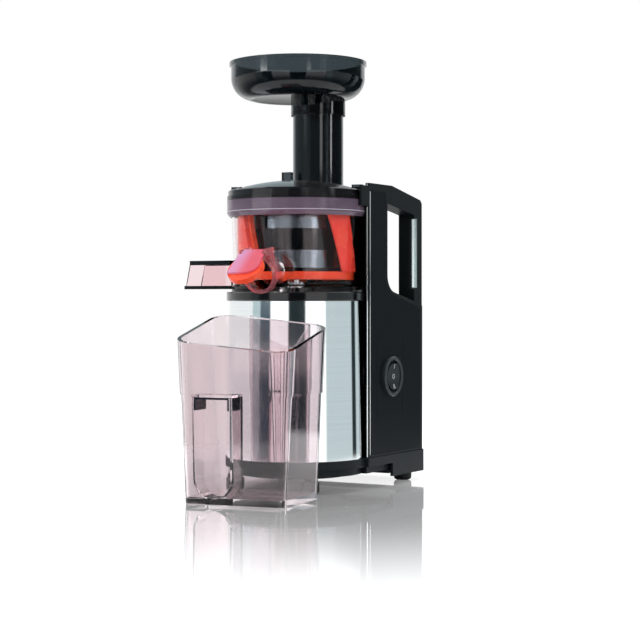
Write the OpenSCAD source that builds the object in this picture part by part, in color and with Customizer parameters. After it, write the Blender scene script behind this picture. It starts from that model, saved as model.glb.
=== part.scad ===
// Upright cold press juicer: a steel-wrapped drive column with two side grips, a clear juicing bowl
// with auger, strainer and spinning brush, a lid with feed tube and tray, and a loose juice jug.
// The origin is on the counter, below the bowl's axis. +Z is up and -Y is the juice spout's side.

/* [Base] */
// Radius of the round front of the base
base_r = 71.2; // [70.5:0.1:74]
// Width of the base across its square back
base_w = 150; // [149:0.5:156]
// Distance from the bowl's axis to the back of the base
base_back = 143; // [142:0.5:148]
// Height of the base's lower edge above the counter, at the front
band_z = 22.5; // [21:0.5:25]
// Height of the base band
band_h = 8.5; // [7:0.1:10]
// Height of the rear skirt's lower edge above the counter
skirt_z = 9; // [7:0.5:11]
// Where the deeper rear skirt begins
skirt_y = 64; // [60:1:70]
// How far the bottom cover is set in from the base's edge
cover_inset = 5; // [4.5:0.1:7]
// Depth by which the bottom cover hangs below the band
cover_drop = 7; // [6:0.5:8]
// Radius of the raised pad under the front
pad_r = 51; // [46:1:54]
// Radius of a rubber foot
foot_r = 9.2; // [8:0.1:10]
// Sideways place of the front feet
front_foot_x = 42; // [38:1:44]
// Forward place of the front feet
front_foot_y = 48; // [44:1:50]
// Sideways place of the rear feet
rear_foot_x = 58; // [54:1:60]
// Backward place of the rear feet
rear_foot_y = 120; // [114:1:124]

/* [Column] */
// Radius of the steel wrap at its top edge
column_top_r = 67.6; // [67:0.1:68.6]
// Radius of the steel wrap at its bottom edge
column_foot_r = 69.8; // [69.2:0.1:70]
// Height of the steel wrap
column_h = 155; // [153:1:165]
// Thickness of the steel sheet
steel_t = 0.8; // [0.5:0.1:1.2]
// Wall thickness of the moulded housings
wall = 3; // [2.4:0.1:3.4]
// Radius of the top platform
platform_r = 70.4; // [70:0.1:71]
// Height of the top platform
platform_h = 9; // [8:0.5:11]
// Half angle by which the steel runs back past each side
steel_tuck = 18; // [12:1:22]

/* [Rear housing] */
// Overall width across the side frames
body_w = 148; // [147:0.5:149]
// Distance from the bowl's axis to the back of the lower housing
body_back = 141; // [139:0.5:142]
// Distance from the bowl's axis to the front edge of the side frames
frame_front = 13; // [11:0.5:16]
// Distance from the bowl's axis to the back of the grips
grip_back = 133; // [130:0.5:136]
// Depth of a grip, front to back
grip_d = 18; // [15:0.5:22]
// Width of a grip and of its arm, side to side
grip_w = 18; // [16:0.5:20]
// Front edge of the grip opening
window_front = 54; // [53:0.5:58]
// Height of the spine's top above the platform
spine_h = 116.5; // [108:0.5:118]
// Height of the arm over the opening
arm_h = 18.5; // [15:0.5:21]
// Drop of the arm from the spine to the back
arm_drop = 13; // [9:0.5:16]
// Rise of the housing deck from the back to the spine
deck_rise = 16.5; // [12:0.5:20]
// Height of the deck's back edge below the platform's top
deck_drop = 13.4; // [11:0.1:16]
// Radius of the opening's lower front corner
window_r = 18; // [12:1:22]
// Thickness of the spine's curved wall
spine_t = 5.4; // [4:0.1:6]
// Rounding of the rear vertical edges
back_r = 9; // [6:0.5:11]
// Rounding of the grips' front edges
grip_r = 7; // [4:0.5:8]
// Chamfer on the front vertical edges of the side frames
front_chamfer = 1.6; // [1:0.1:2]
// Forward reach of the lid's lock block
lock_reach = 15; // [10:0.5:17]
// Height of the lock block
lock_h = 20; // [15:0.5:22]
// Thickness of the inlaid side panel
trim_t = 1.2; // [1:0.1:1.6]

/* [Switch] */
// Outer radius of the switch's bezel
bezel_r = 20.3; // [18:0.1:22]
// How far the bezel stands out
bezel_h = 4; // [3:0.1:5]
// Distance of the switch from the bowl's axis
switch_y = 62; // [59:1:68]
// Height of the switch above the counter
switch_z = 110; // [100:1:120]
// Width of the switch's plate
plate_w = 58; // [54:1:60]
// Height of the switch's plate
plate_h = 80; // [60:1:90]

/* [Motor and gearbox] */
// Radius of the motor's stator
motor_r = 34; // [30:1:36]
// Gear module
gear_m = 1; // [1:0.5:1]
// Teeth of the motor's pinion
pinion_teeth = 14; // [14:1:14]
// Teeth of the first wheel
wheel_teeth = 56; // [56:1:56]
// Teeth of the second pinion
second_teeth = 15; // [15:1:15]
// Teeth of the output wheel
output_teeth = 75; // [75:1:75]
// Radius of the drive shaft
shaft_r = 7; // [6.5:0.1:7.2]
// Height of the drive shaft above the bowl's seat
shaft_up = 37; // [34:1:40]
// Outer radius of a shaft bearing
bearing_r = 13; // [12:0.5:14]
// Height of a shaft bearing
bearing_h = 7; // [6:0.5:8]

/* [Bowl] */
// Outer radius of the bowl at its top
bowl_top_r = 66; // [65.6:0.1:66.4]
// Outer radius of the bowl at its foot
bowl_foot_r = 62.3; // [61.8:0.1:63]
// Height of the bowl above its seat
bowl_h = 86; // [84:0.5:90]
// Wall of the bowl
bowl_wall = 2.2; // [1.8:0.1:2.4]
// Thickness of the bowl's floor, pulp duct included
floor_h = 11.5; // [11:0.1:13]
// Radius of the foot ring that stands on the platform
ring_r = 65.5; // [64.5:0.1:66.5]
// Downward slope of the juice spout
spout_slope = 10; // [6:1:14]
// Outer radius of the spout's mouth
mouth_r = 18.5; // [18:0.1:19]
// Bore radius of the spout
spout_bore_r = 15.2; // [14.5:0.1:15.5]
// Distance of the mouth's centre from the bowl's axis
mouth_y = 79; // [77:0.5:82]
// Sideways place of the spout
spout_x = 3; // [0:0.5:4]
// Opening angle of the juice cap as it is shown
cap_open = 57; // [45:1:62]
// Reach of the pulp outlet from the bowl's axis
pulp_reach = 121.5; // [110:0.5:135]
// How far the pulp outlet sits forward of the bowl's axis
pulp_y = 3.5; // [3.5:0.5:6]
// Width of the pulp outlet
pulp_w = 30; // [26:1:30]
// Height of the pulp outlet
pulp_h = 29; // [27:0.5:31]

/* [Brush drive] */
// Module of the brush gears
brush_m = 1.5; // [1.5:0.5:1.5]
// Teeth under the auger
sun_teeth = 22; // [22:1:22]
// Teeth of the idler
idler_teeth = 20; // [20:1:20]
// Face width of the brush gears
brush_gear_h = 6; // [5:0.5:6.5]
// Direction of the idler from the bowl's axis
idler_turn = 300; // [290:5:330]

/* [Brush and strainer] */
// Outer radius of the strainer
strainer_r = 47.6; // [47:0.1:47.8]
// Height of the strainer
strainer_h = 58.5; // [56:0.5:59]
// Wall of the strainer's frame
strainer_wall = 2; // [1.6:0.1:2.4]
// Outer radius of the brush's frame
brush_r = 57; // [56:0.1:57.4]
// Height of the strainer's solid band above its foot
strainer_band_z = 22.5; // [20:0.5:25]
// Height of the strainer's solid band
strainer_band_h = 21; // [16:0.5:24]
// Height of the brush
brush_h = 69; // [66:0.5:70]
// Height of the brush's lower ring
brush_ring_h = 8; // [7:0.5:9]
// Height of the brush's upper ring
brush_top_h = 5.5; // [4:0.5:8]
// Number of brush arms
arm_count = 3; // [3:1:6]
// Direction of the first brush arm
arm_turn = 5; // [0:1:60]
// Lean of the brush arms
arm_lean = 16; // [0:1:20]
// Width of the lip that trails behind each arm along the bowl
lip_w = 24; // [16:1:26]

/* [Auger] */
// Outer radius of the auger's flights
flight_r = 44.6; // [42:0.1:45]
// Rise of a flight in one turn
flight_pitch = 74; // [60:1:90]
// Number of flights
flight_count = 2; // [1:1:3]
// Thickness of a flight, along the axis
flight_t = 5; // [4:0.5:7]
// Height of the auger's body
auger_h = 56; // [52:1:58]
// Radius of the auger's core at its foot
core_foot_r = 27; // [24:0.5:30]
// Radius of the auger's core at its head
core_head_r = 13; // [10:0.5:16]

/* [Lid] */
// Outer radius of the lid's collar
collar_r = 70; // [69.5:0.1:70.3]
// Height of the lid's collar
collar_h = 18; // [15:0.5:20]
// Thickness of the lid's mouldings
lid_wall = 2.5; // [2:0.1:2.8]
// Rise of the lid's dome
dome_rise = 10.5; // [8:0.5:13]
// Sideways place of the feed tube
tube_x = 8; // [6:0.5:12]
// Backward place of the feed tube
tube_y = 29; // [29:0.5:32]
// Bore radius of the feed tube
tube_bore_r = 23; // [20:0.5:24]
// Wall of the feed tube
tube_wall = 2.5; // [2:0.1:3]
// Height of the feed tube above the lid's rim
tube_h = 91; // [60:1:110]

/* [Feed tray] */
// Outer radius of the tray's rim
tray_r = 68.7; // [62:0.1:75]
// Depth of the tray
tray_h = 37; // [30:0.5:45]
// Radius of the tray's lower corner
tray_corner = 21.5; // [15:0.5:24]
// Thickness of the tray
tray_wall = 2.5; // [2:0.1:3]
// Length of the sleeve that grips the feed tube
sleeve_h = 14; // [10:0.5:20]

/* [Jug] */
// Width of the jug at its foot
jug_w = 103; // [97:1:105]
// Depth of the jug at its foot
jug_d = 88; // [84:1:89]
// How much wider the jug is at the rim, on each side
jug_flare = 7.5; // [5:0.5:8]
// Middle height of the jug's rim
jug_h = 155.8; // [140:0.1:160]
// Rise of the rim from the front to the back
rim_rise = 24.5; // [0:0.5:26]
// Rise of the rim from right to left
rim_side = 10.5; // [0:0.5:12]
// Wall of the jug
jug_wall = 2.4; // [2:0.1:3]
// Sideways place of the jug
jug_x = 22; // [16:1:25]
// Forward place of the jug
jug_y = 122; // [122:1:130]
// Turn of the jug on the counter
jug_turn = 7; // [4:1:8]
// Height of the jug's ledge, below which it is slightly narrower
ledge_z = 100; // [96:1:110]
// Width of the jug's handle recess
recess_w = 36; // [30:1:38]
// Depth of the jug's handle recess
recess_d = 20; // [16:1:26]
// Height of the jug's handle recess
recess_h = 98; // [80:1:98]

/* [Hidden] */

$fn = 96;
run = 0.05;
glue = 0.1;
gap = 0.3;
eps = 0.01;
big = 400;

// Heights, from the counter up
z_deck = band_z + band_h;
z_platform = z_deck + column_h;
z_seat = z_platform + platform_h;
z_floor = z_seat + floor_h;
z_bowl_top = z_seat + bowl_h;
z_spine = z_platform + spine_h;
z_cover = band_z - cover_drop;
z_rear_plate = skirt_z + wall;
z_deck_back = z_seat - deck_drop;
z_deck_front = z_deck_back + deck_rise;
z_arm_back = z_spine - arm_drop;

// Places in the rear housing
half_w = body_w / 2;
grip_in = half_w - grip_w;
grip_front = grip_back - grip_d;
bowl_clear_r = collar_r + 1.6;
column_clear_r = column_foot_r + 0.5;
deck_slope = deck_rise / (grip_back - window_front);
arm_slope = arm_drop / (grip_back - window_front - 12);

pivot_r = 2;
board_x = half_w - wall - 9;
boss_inset = 7;
boss_y = body_back - boss_inset;
front_boss_y = 104;
cord_x = -34;
cord_z = z_deck + 14;

// Gear train in the gearbox
lay_y = gear_m * (second_teeth + output_teeth) / 2;
motor_y = lay_y + gear_m * (pinion_teeth + wheel_teeth) / 2;
case_wall = 3;
gearbox_h = 44;
z_cover_plate = z_platform - 7;
z_case = z_cover_plate - gearbox_h;
first_gear_z = z_case + 12;
first_gear_h = 8;
second_gear_z = first_gear_z + first_gear_h + 2;
second_gear_h = 14;
lay_r = 4;
gear_room = 5;
lug_r = 5;
lug_h = 20;
case_floor = 4;
cover_t = 3;
shaft_foot_z = z_case + 1;

// Motor
rotor_r = 17;
rotor_gap = 0.6;
motor_shaft_r = 4;
bracket_h = 6;
motor_foot_z = z_deck + 6;
fan_room = 20;
fan_h = 7;
fan_hub_r = 9;
fan_blade_at = 8;
fan_blade_l = 14;
fan_blade_t = 1.5;
coil_h = 9;
coil_room = 16;
z_stator = motor_foot_z + bracket_h + fan_room;
z_stack_top = z_case - bracket_h - coil_room;
post_r = 3.5;
post_at = motor_r - 2;
slot_at = rotor_r + 6;

// Bowl inside
bowl_in_foot_r = bowl_foot_r - bowl_wall;
bowl_in_top_r = bowl_top_r - bowl_wall;
neck_r = 8.2;
neck_wall = 2.2;
neck_h = 10.5;
hub_r = 15;
hub_h = 4;
pulp_hole_x = 33;
pulp_hole_r = 7.4;
duct_w = 18;
duct_z = z_seat + 3.5;
duct_top = z_floor - 1.5;
lip_t = 1.2;
z_gear = z_floor + gap;
z_strainer = z_gear + brush_gear_h + 0.7;

// Brush drive
ring_teeth = sun_teeth + 2 * idler_teeth;
idler_at = brush_m * (sun_teeth + idler_teeth) / 2;
idler_pin_r = 2.5;
hex_r = 6.8;
hex_gap = 0.2;
socket_r = 9.4;
skirt_in_r = neck_r + neck_wall + 0.6;

// Spout and cap
mouth_z = z_seat + 16;
hinge_up = mouth_r + 3.4;
hinge_out = 4;
flap_top_w = 27;
flap_w = 31;
flap_reach = 31;
flap_corner = 12;
cap_t = 2;
cap_pin_r = 1.5;
barrel_r = 3.6;
barrel_w = 21;
ear_w = 3.5;
plug_r = mouth_r - 0.3;
plug_t = 5;

// Lid
z_lid = z_bowl_top + 2;
z_rim = z_lid + 13;
dome_r = 66;
rim_r = 69;
dome_ball_r = (dome_r * dome_r + dome_rise * dome_rise) / (2 * dome_rise);
dome_ball_z = z_rim + dome_rise - dome_ball_r;
tube_r = tube_bore_r + tube_wall;
z_tray = z_rim + tube_h;
pin_r = 4;
pin_top_z = z_lid + 9;
lug_turn = 12;

// Jug
recess_x = -19.5;

// Auger
z_auger = z_strainer + 3;
z_auger_head = z_auger + auger_h;

// Colours
satin_black = [0.12, 0.13, 0.14];
gloss_black = [0.04, 0.04, 0.05];
rubber_black = [0.08, 0.08, 0.08];
steel_grey = [0.74, 0.77, 0.78];
zinc_grey = [0.6, 0.6, 0.62];
nylon_white = [0.9, 0.9, 0.86];
copper = [0.75, 0.4, 0.2];
board_green = [0.1, 0.4, 0.2];
clear_pink = [0.93, 0.87, 0.88, 0.35];
smoke = [0.1, 0.11, 0.12, 0.75];
plum_grey = [0.35, 0.28, 0.36, 0.6];
silicone_orange = [0.95, 0.25, 0.12];

// ---------- Shared shapes ----------

// Maps a sketch's x to the part's Y and its y to the part's Z, and extrudes it along +X.
module side_extrude(x0, x1) {
    translate([x0, 0, 0]) rotate([90, 0, 90]) linear_extrude(x1 - x0) children();
}

module tube(r_out, r_in, z0, z1) {
    translate([0, 0, z0]) linear_extrude(z1 - z0) difference() {
        circle(r_out);
        circle(r_in);
    }
}

module rod(r, z0, z1) {
    translate([0, 0, z0]) cylinder(r = r, h = z1 - z0);
}

// Cone frustum between two heights
module taper(r0, r1, z0, z1) {
    translate([0, 0, z0]) cylinder(r1 = r0, r2 = r1, h = z1 - z0);
}

// Square-backed footprint with rounded rear corners
module back_plan(hw, y0, y1, r) {
    translate([-hw, y0]) square([2 * hw, y1 - y0 - r]);
    translate([r - hw, y0]) square([2 * (hw - r), y1 - y0]);
    for (s = [-1, 1]) translate([s * (hw - r), y1 - r]) circle(r);
}

module footprint(inset) {
    circle(base_r - inset);
    back_plan(base_w / 2 - inset, frame_front - 2 + inset, base_back - inset, back_r + 1 - inset / 2);
}

module behind(y) {
    translate([-big, y]) square([2 * big, big]);
}

module ahead_of(y) {
    translate([-big, y - big]) square([2 * big, big]);
}

// Involute tooth flank: half the tooth's angle at radius r, in degrees
function inv(a) = tan(a) - a * PI / 180;
function flank(r, base, teeth, thin) =
    (90 - thin) / teeth + (inv(20) - inv(acos(min(1, base / r)))) * 180 / PI;
function polar(r, a) = [r * cos(a), r * sin(a)];

// Outline of a gear with a tooth centred on the direction turn
module gear_plan(teeth, m, turn, add = 1, ded = 1.2, thin = 2) {
    pitch = m * teeth / 2;
    base = pitch * cos(20);
    tip = pitch + add * m;
    root = pitch - ded * m;
    low = max(base, root) + eps;
    points = [for (k = [0 : teeth - 1]) let (a = turn + k * 360 / teeth) each [
        polar(root, a - flank(low, base, teeth, thin)),
        polar(pitch, a - flank(pitch, base, teeth, thin)),
        polar(tip, a - flank(tip, base, teeth, thin)),
        polar(tip, a + flank(tip, base, teeth, thin)),
        polar(pitch, a + flank(pitch, base, teeth, thin)),
        polar(root, a + flank(low, base, teeth, thin))]];
    polygon(points);
}

module gear(teeth, m, turn, z0, h, bore) {
    translate([0, 0, z0]) linear_extrude(h) difference() {
        gear_plan(teeth, m, turn);
        circle(bore);
    }
}

// Pan-head screw along +Z, its head below z
module screw(r, length) {
    cylinder(r = r, h = length);
    translate([0, 0, -r]) cylinder(r = 2 * r, h = r);
}

// ---------- Base ----------

module base() {
    color(satin_black) difference() {
        union() {
            translate([0, 0, band_z]) linear_extrude(band_h) footprint(0);
            translate([0, 0, skirt_z]) linear_extrude(band_z - skirt_z) intersection() {
                footprint(0);
                behind(skirt_y);
            }
        }
        difference() {
            translate([0, 0, skirt_z - 1]) linear_extrude(z_deck - wall - skirt_z + 1) footprint(wall);
            for (p = cover_screw_places) translate([p.x, p.y, 0]) rod(4, 0, z_deck);
        }
        translate([0, motor_y, 0]) rod(motor_r - 6, 0, z_deck + 1);
        for (p = cover_screw_places) translate([p.x, p.y, 0]) {
            rod(1.5, 0, z_deck - 1);
            rod(5, 0, p.z + wall);
        }
    }
}

// Screw places in the bottom cover, with the height of its outside there
cover_screw_places = [
    [-56, 0, z_cover], [56, 0, z_cover],
    [-60, 100, z_rear_plate], [60, 100, z_rear_plate],
    [0, -58, z_cover], [0, 128, z_rear_plate]];

module bottom_cover() {
    step_y = skirt_y - wall;
    color(satin_black) difference() {
        union() {
            translate([0, 0, z_cover]) linear_extrude(z_deck - wall - z_cover) intersection() {
                footprint(cover_inset);
                ahead_of(skirt_y);
            }
            translate([0, 0, z_rear_plate]) linear_extrude(wall) intersection() {
                footprint(wall + gap);
                behind(step_y);
            }
            translate([0, 0, z_rear_plate]) linear_extrude(z_deck - wall - z_rear_plate) intersection() {
                footprint(cover_inset);
                behind(step_y);
                ahead_of(skirt_y);
            }
            rod(pad_r, z_cover - 2.5, z_cover);
        }
        translate([0, 0, z_cover + wall]) linear_extrude(z_deck) intersection() {
            footprint(cover_inset + wall);
            ahead_of(step_y);
        }
        for (k = [-4 : 4]) translate([0, motor_y + 7 * k, z_rear_plate - 1])
            translate([-18, -1.5, 0]) cube([36, 3, wall + 2]);
        for (p = cover_screw_places) translate([p.x, p.y, p.z]) {
            translate([0, 0, -1]) cylinder(r = 1.6, h = wall + 2);
            translate([0, 0, -1]) cylinder(r = 3.3, h = 2.7);
        }
    }
}

module cover_screws() {
    color(zinc_grey) for (p = cover_screw_places) translate([p.x, p.y, p.z + 1.7]) screw(1.5, 10);
}

module foot(h) {
    rotate_extrude() polygon([[0, 0], [foot_r - 2.4, 0], [foot_r - 0.7, 1], [foot_r, 2.8],
        [foot_r, h - 4], [foot_r - 1.5, h - 3], [foot_r - 1.5, h], [0, h]]);
}

module rubber_feet() {
    color(rubber_black) for (s = [-1, 1]) {
        translate([s * front_foot_x, -front_foot_y, 0]) foot(z_cover);
        translate([s * rear_foot_x, rear_foot_y, 0]) foot(z_rear_plate);
    }
}

// ---------- Column ----------

module column_housing() {
    foot_r_in = column_foot_r - steel_t - glue - wall;
    top_r_in = column_top_r - steel_t - glue - wall;
    color(satin_black) difference() {
        taper(foot_r_in + wall, top_r_in + wall, z_deck, z_platform);
        taper(foot_r_in, top_r_in, z_deck - eps, z_platform + eps);
        translate([-48, 0, z_deck + 5]) cube([96, big, column_h - 8]);
    }
}

module steel_wrap() {
    color(steel_grey) rotate([0, 0, 180 - steel_tuck]) rotate_extrude(angle = 180 + 2 * steel_tuck)
        polygon([[column_foot_r - steel_t, z_deck], [column_foot_r, z_deck],
            [column_top_r, z_platform], [column_top_r - steel_t, z_platform]]);
}

module platform() {
    lip = 1;
    color(gloss_black) difference() {
        union() {
            rotate_extrude() polygon([[0, z_platform + wall], [0, z_seat], [platform_r - lip, z_seat],
                [platform_r, z_seat - lip], [platform_r, z_platform + lip],
                [platform_r - lip, z_platform], [60, z_platform], [60, z_platform + wall]]);
            rod(hub_r, z_seat - eps, z_seat + hub_h);
        }
        rod(shaft_r + 3.5, z_platform, z_seat + hub_h + 1);
    }
}

// ---------- Rear housing ----------

function arc(cx, cy, r, a0, a1, n) =
    [for (i = [0 : n]) let (a = a0 + (a1 - a0) * i / n) [cx + r * cos(a), cy + r * sin(a)]];
function deck_z(y) = z_deck_back + (grip_back - y) * deck_slope;
function arm_z(y) = z_spine - max(0, y - window_front - 10) * arm_slope;

// Side view of the whole rear housing
module side_profile() {
    polygon([[frame_front, z_deck], [body_back, z_deck], [body_back - 1.5, z_deck_back - 5],
        [body_back - 3.5, z_deck_back - 1.5], [grip_back, z_deck_back],
        [grip_back, z_arm_back - 2], [grip_back - 3.5, arm_z(grip_back) + 2],
        [window_front + 10, z_spine], [frame_front, z_spine]]);
}

// Side view of the opening under the arm
module window_profile() {
    turn = atan(deck_slope);
    cy = window_front + window_r;
    cz = deck_z(cy) + window_r / cos(turn);
    polygon(concat(
        arc(cy, cz, window_r, 180, 270 - turn, 8),
        [[grip_front, deck_z(grip_front)],
            [grip_front, z_arm_back - arm_h + 4], [grip_front - 4, z_arm_back - arm_h + 4.8],
            [window_front, z_spine - arm_h]]));
}

// Everything below the deck, to cut the housing's inside from
module lower_profile(inset) {
    polygon([[0, z_deck - 1], [body_back - inset, z_deck - 1],
        [body_back - inset, z_deck_back - 6 - inset / 2],
        [grip_back - inset, deck_z(grip_back) - inset], [window_front, deck_z(window_front) - inset],
        [0, deck_z(window_front) - inset]]);
}

module housing_plan() {
    c = front_chamfer;
    difference() {
        back_plan(half_w, frame_front, body_back, back_r);
        for (s = [-1, 1]) translate([s * half_w, frame_front]) rotate(45) square(c * sqrt(2), center = true);
    }
}

module spine_wall() {
    linear_extrude(big) intersection() {
        difference() {
            circle(bowl_clear_r + spine_t);
            circle(bowl_clear_r);
        }
        behind(frame_front);
    }
}

// One half of the rear housing, on the +X side, with the lid's lock block if asked for
module rear_shell(lock) {
    color(satin_black) difference() {
        union() {
            difference() {
                rear_solid(lock);
                side_extrude(-1, half_w - wall) lower_profile(wall);
            }
            shell_bosses();
            if (lock) board_posts();
        }
        rod(column_clear_r, z_deck - 1, z_platform);
        rod(bowl_clear_r, z_platform - eps, big);
        translate([-big, -big, -big / 2]) cube([big, 2 * big, 2 * big]);
        translate([half_w - trim_t, 0, 0]) side_extrude(0, trim_t + 1) panel_profile(gap);
        if (lock) translate([half_w - wall - 1, switch_y, switch_z]) rotate([0, 90, 0])
            cylinder(r = bezel_r - 3, h = wall + 2);
        translate([half_w, grip_front, z_deck_front]) grip_edge();
        shell_screw_cuts();
    }
}

module rear_solid(lock) {
    intersection() {
        translate([0, 0, z_deck]) linear_extrude(big) housing_plan();
        union() {
            side_extrude(grip_in, half_w) difference() {
                side_profile();
                window_profile();
            }
            side_extrude(0, grip_in + eps) intersection() {
                side_profile();
                lower_profile(0);
            }
        }
    }
    intersection() {
        translate([0, 0, z_deck_front - 12]) spine_wall();
        side_extrude(0, half_w - 1) side_profile();
    }
    if (lock) translate([collar_r - 2, frame_front - lock_reach, z_spine - lock_h - 3])
        cube([half_w - collar_r + 2, lock_reach + 4, lock_h]);
}

// Posts that carry the control board on the right wall
module board_posts() {
    for (p = [[90, z_deck + 26], [118, z_deck + 84]]) translate([board_x + 1.6, p.x, p.y])
        rotate([0, 90, 0]) cylinder(r = 3, h = half_w - wall - board_x);
}

// Cutter that rounds the grip's front outer edge
module grip_edge() {
    difference() {
        translate([-grip_r, -1, 0]) cube([grip_r + 1, grip_r + 1, z_arm_back - arm_h - z_deck_front]);
        translate([-grip_r, grip_r, -1]) cylinder(r = grip_r, h = big);
    }
}

// Side view of the inlaid panel; grow widens it into its recess
module panel_profile(grow) {
    g = 3 - grow;
    end_y = body_back - back_r - 4 + grow;
    turn = atan(deck_slope);
    cy = window_front + window_r;
    cz = deck_z(cy) + window_r / cos(turn);
    polygon(concat(
        [[frame_front + g, z_deck + g], [end_y, z_deck + g], [end_y, deck_z(end_y) - g - 1]],
        arc(cy, cz, window_r + g, 270 - turn, 180, 8),
        [[window_front - g, z_spine - 8 + grow], [frame_front + g, z_spine - 8 + grow]]));
}

// Y and Z of the screws across the middle seam
shell_screw_spots = [[boss_y, z_deck + 15], [boss_y, z_deck_back - 35],
    [front_boss_y, deck_z(front_boss_y) - boss_inset]];

module shell_bosses() {
    for (p = shell_screw_spots) translate([0, p.x, p.y]) rotate([0, 90, 0]) cylinder(r = 4.5, h = 12);
}

module shell_screw_cuts() {
    for (p = shell_screw_spots) translate([-1, p.x, p.y]) rotate([0, 90, 0]) cylinder(r = 1.5, h = 11);
}

module rear_shell_right() {
    rear_shell(true);
}

module rear_shell_left() {
    difference() {
        mirror([1, 0, 0]) rear_shell(false);
        translate([cord_x, body_back - 5, cord_z]) rotate([-90, 0, 0]) cylinder(r = 6, h = 10);
    }
}

// Long set screws through both halves' bosses
module shell_screws() {
    color(zinc_grey) for (p = shell_screw_spots) translate([-9, p.x, p.y]) rotate([0, 90, 0])
        cylinder(r = 1.5, h = 18);
}

module side_panel() {
    color([0.15, 0.16, 0.18]) difference() {
        side_extrude(half_w - trim_t, half_w) panel_profile(0);
        translate([half_w - trim_t - 1, switch_y, switch_z]) rotate([0, 90, 0])
            cylinder(r = bezel_r - 3, h = trim_t + 2);
        translate([half_w - 0.5, switch_y - plate_w / 2 - 3, switch_z - plate_h / 2])
            cube([1, plate_w, plate_h]);
    }
}

module side_panel_right() {
    side_panel();
}

module side_panel_left() {
    color([0.15, 0.16, 0.18]) mirror([1, 0, 0]) side_extrude(half_w - trim_t, half_w) panel_profile(0);
}

// ---------- Switch ----------

// Places a shape built around +Z on the switch's axis, facing +X
module at_switch() {
    translate([half_w, switch_y, switch_z]) rotate([0, 90, 0]) children();
}

module switch_plate() {
    color([0.1, 0.11, 0.12]) difference() {
        translate([half_w - 0.5, switch_y - plate_w / 2 - 3 + gap, switch_z - plate_h / 2 + gap])
            cube([0.5, plate_w - 2 * gap, plate_h - 2 * gap]);
        at_switch() translate([0, 0, -1]) cylinder(r = bezel_r - 3, h = 2);
    }
}

module switch_bezel() {
    color(gloss_black) at_switch() {
        rotate_extrude() polygon([[bezel_r - 4, 0], [bezel_r, 0], [bezel_r, bezel_h - 1],
            [bezel_r - 1, bezel_h], [bezel_r - 3.2, bezel_h], [bezel_r - 4, bezel_h - 1]]);
        tube(bezel_r - 3.2, bezel_r - 4, -8, eps);
    }
}

module switch_body() {
    color(gloss_black) at_switch() difference() {
        union() {
            rod(bezel_r - 4 - eps, -22, -8);
            tube(bezel_r - 4, bezel_r - 5, -8 - eps, -1);
        }
        rod(bezel_r - 5.5, -16, 0);
        rotate([90, 0, 0]) translate([0, -4, -big / 2]) cylinder(r = pivot_r + run, h = big);
    }
}

// Rocker dished about a horizontal axis, with a pivot line across its width
module switch_rocker() {
    r = bezel_r - 4.6;
    color(gloss_black) at_switch() {
        intersection() {
            rod(r - 1.6, -7, bezel_h);
            difference() {
                translate([0, 0, -4]) rotate([90, 0, 0]) cylinder(r = r - 0.8, h = 2 * r, center = true);
                translate([-r, -r, -14]) cube([2 * r, 2 * r, 7]);
                translate([0, 0, 52]) rotate([90, 0, 0]) cylinder(r = 49.4, h = 3 * r, center = true);
            }
        }
        translate([0, 0, -4]) rotate([90, 0, 0]) cylinder(r = pivot_r, h = 2 * (bezel_r - 4.3), center = true);
    }
}

module control_board() {
    color(board_green) translate([board_x, 84, z_deck + 20]) cube([1.6, 40, 70]);
    color([0.85, 0.75, 0.2]) translate([board_x - 14, 92, z_deck + 30]) cube([14, 24, 18]);
}

module cord_grommet() {
    color(rubber_black) translate([cord_x, body_back, cord_z]) rotate([90, 0, 0]) difference() {
        union() {
            translate([0, 0, -2]) cylinder(r = 8.5, h = 2);
            cylinder(r = 6 - run, h = wall);
            translate([0, 0, wall]) cylinder(r = 8.5, h = 2);
        }
        translate([0, 0, -3]) cylinder(r = 3.5, h = 12);
    }
}

// ---------- Motor ----------

module at_motor() {
    translate([0, motor_y, 0]) children();
}

module motor_stator() {
    color(zinc_grey) at_motor() difference() {
        rod(motor_r, z_stator, z_stack_top);
        rod(rotor_r + rotor_gap, z_stator - 1, z_stack_top + 1);
        for (a = [0 : 60 : 300]) rotate(a) translate([slot_at, 0, 0]) rod(4.5, z_stator - 1, z_stack_top + 1);
    }
}

// Windings that stand proud of both ends of the stack and pass through its slots
module motor_coils() {
    coil_r = post_at - post_r - 1;
    color(copper) at_motor() {
        for (z = [z_stator - coil_h, z_stack_top]) tube(coil_r, rotor_r + 1.4, z, z + coil_h);
        for (a = [0 : 60 : 300]) rotate(a) translate([slot_at, 0, 0])
            rod(4.2, z_stator - eps, z_stack_top + eps);
    }
}

// Spider plate at height z with four posts that reach to the stack between arm_z0 and arm_z1
module motor_bracket(z, arm_z0, arm_z1) {
    color(zinc_grey) at_motor() difference() {
        union() {
            rod(motor_r + 2, z, z + bracket_h);
            for (a = [45 : 90 : 315]) rotate(a) translate([post_at, 0, 0]) rod(post_r, arm_z0, arm_z1);
        }
        rod(motor_shaft_r + run, z - 1, z + bracket_h + 1);
        for (a = [0 : 90 : 270]) rotate(a) translate([slot_at, 0, 0]) rod(5, z - 1, z + bracket_h + 1);
    }
}

module motor_bracket_top() {
    motor_bracket(z_case - bracket_h, z_stack_top, z_case - 1);
}

module motor_bracket_bottom() {
    motor_bracket(motor_foot_z, motor_foot_z + 1, z_stator);
}

module motor_rotor() {
    fan_z = motor_foot_z + bracket_h + 2;
    color(zinc_grey) at_motor() {
        rod(motor_shaft_r, motor_foot_z + 1, first_gear_z);
        rod(rotor_r, z_stator, z_stack_top);
        gear(pinion_teeth, gear_m, pinion_turn, first_gear_z, first_gear_h, 1);
        rod(fan_hub_r, fan_z, fan_z + fan_h);
        for (a = [0 : 45 : 315]) rotate(a) translate([fan_blade_at, -fan_blade_t / 2, fan_z])
            cube([fan_blade_l, fan_blade_t, fan_h - 1]);
    }
}

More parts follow.
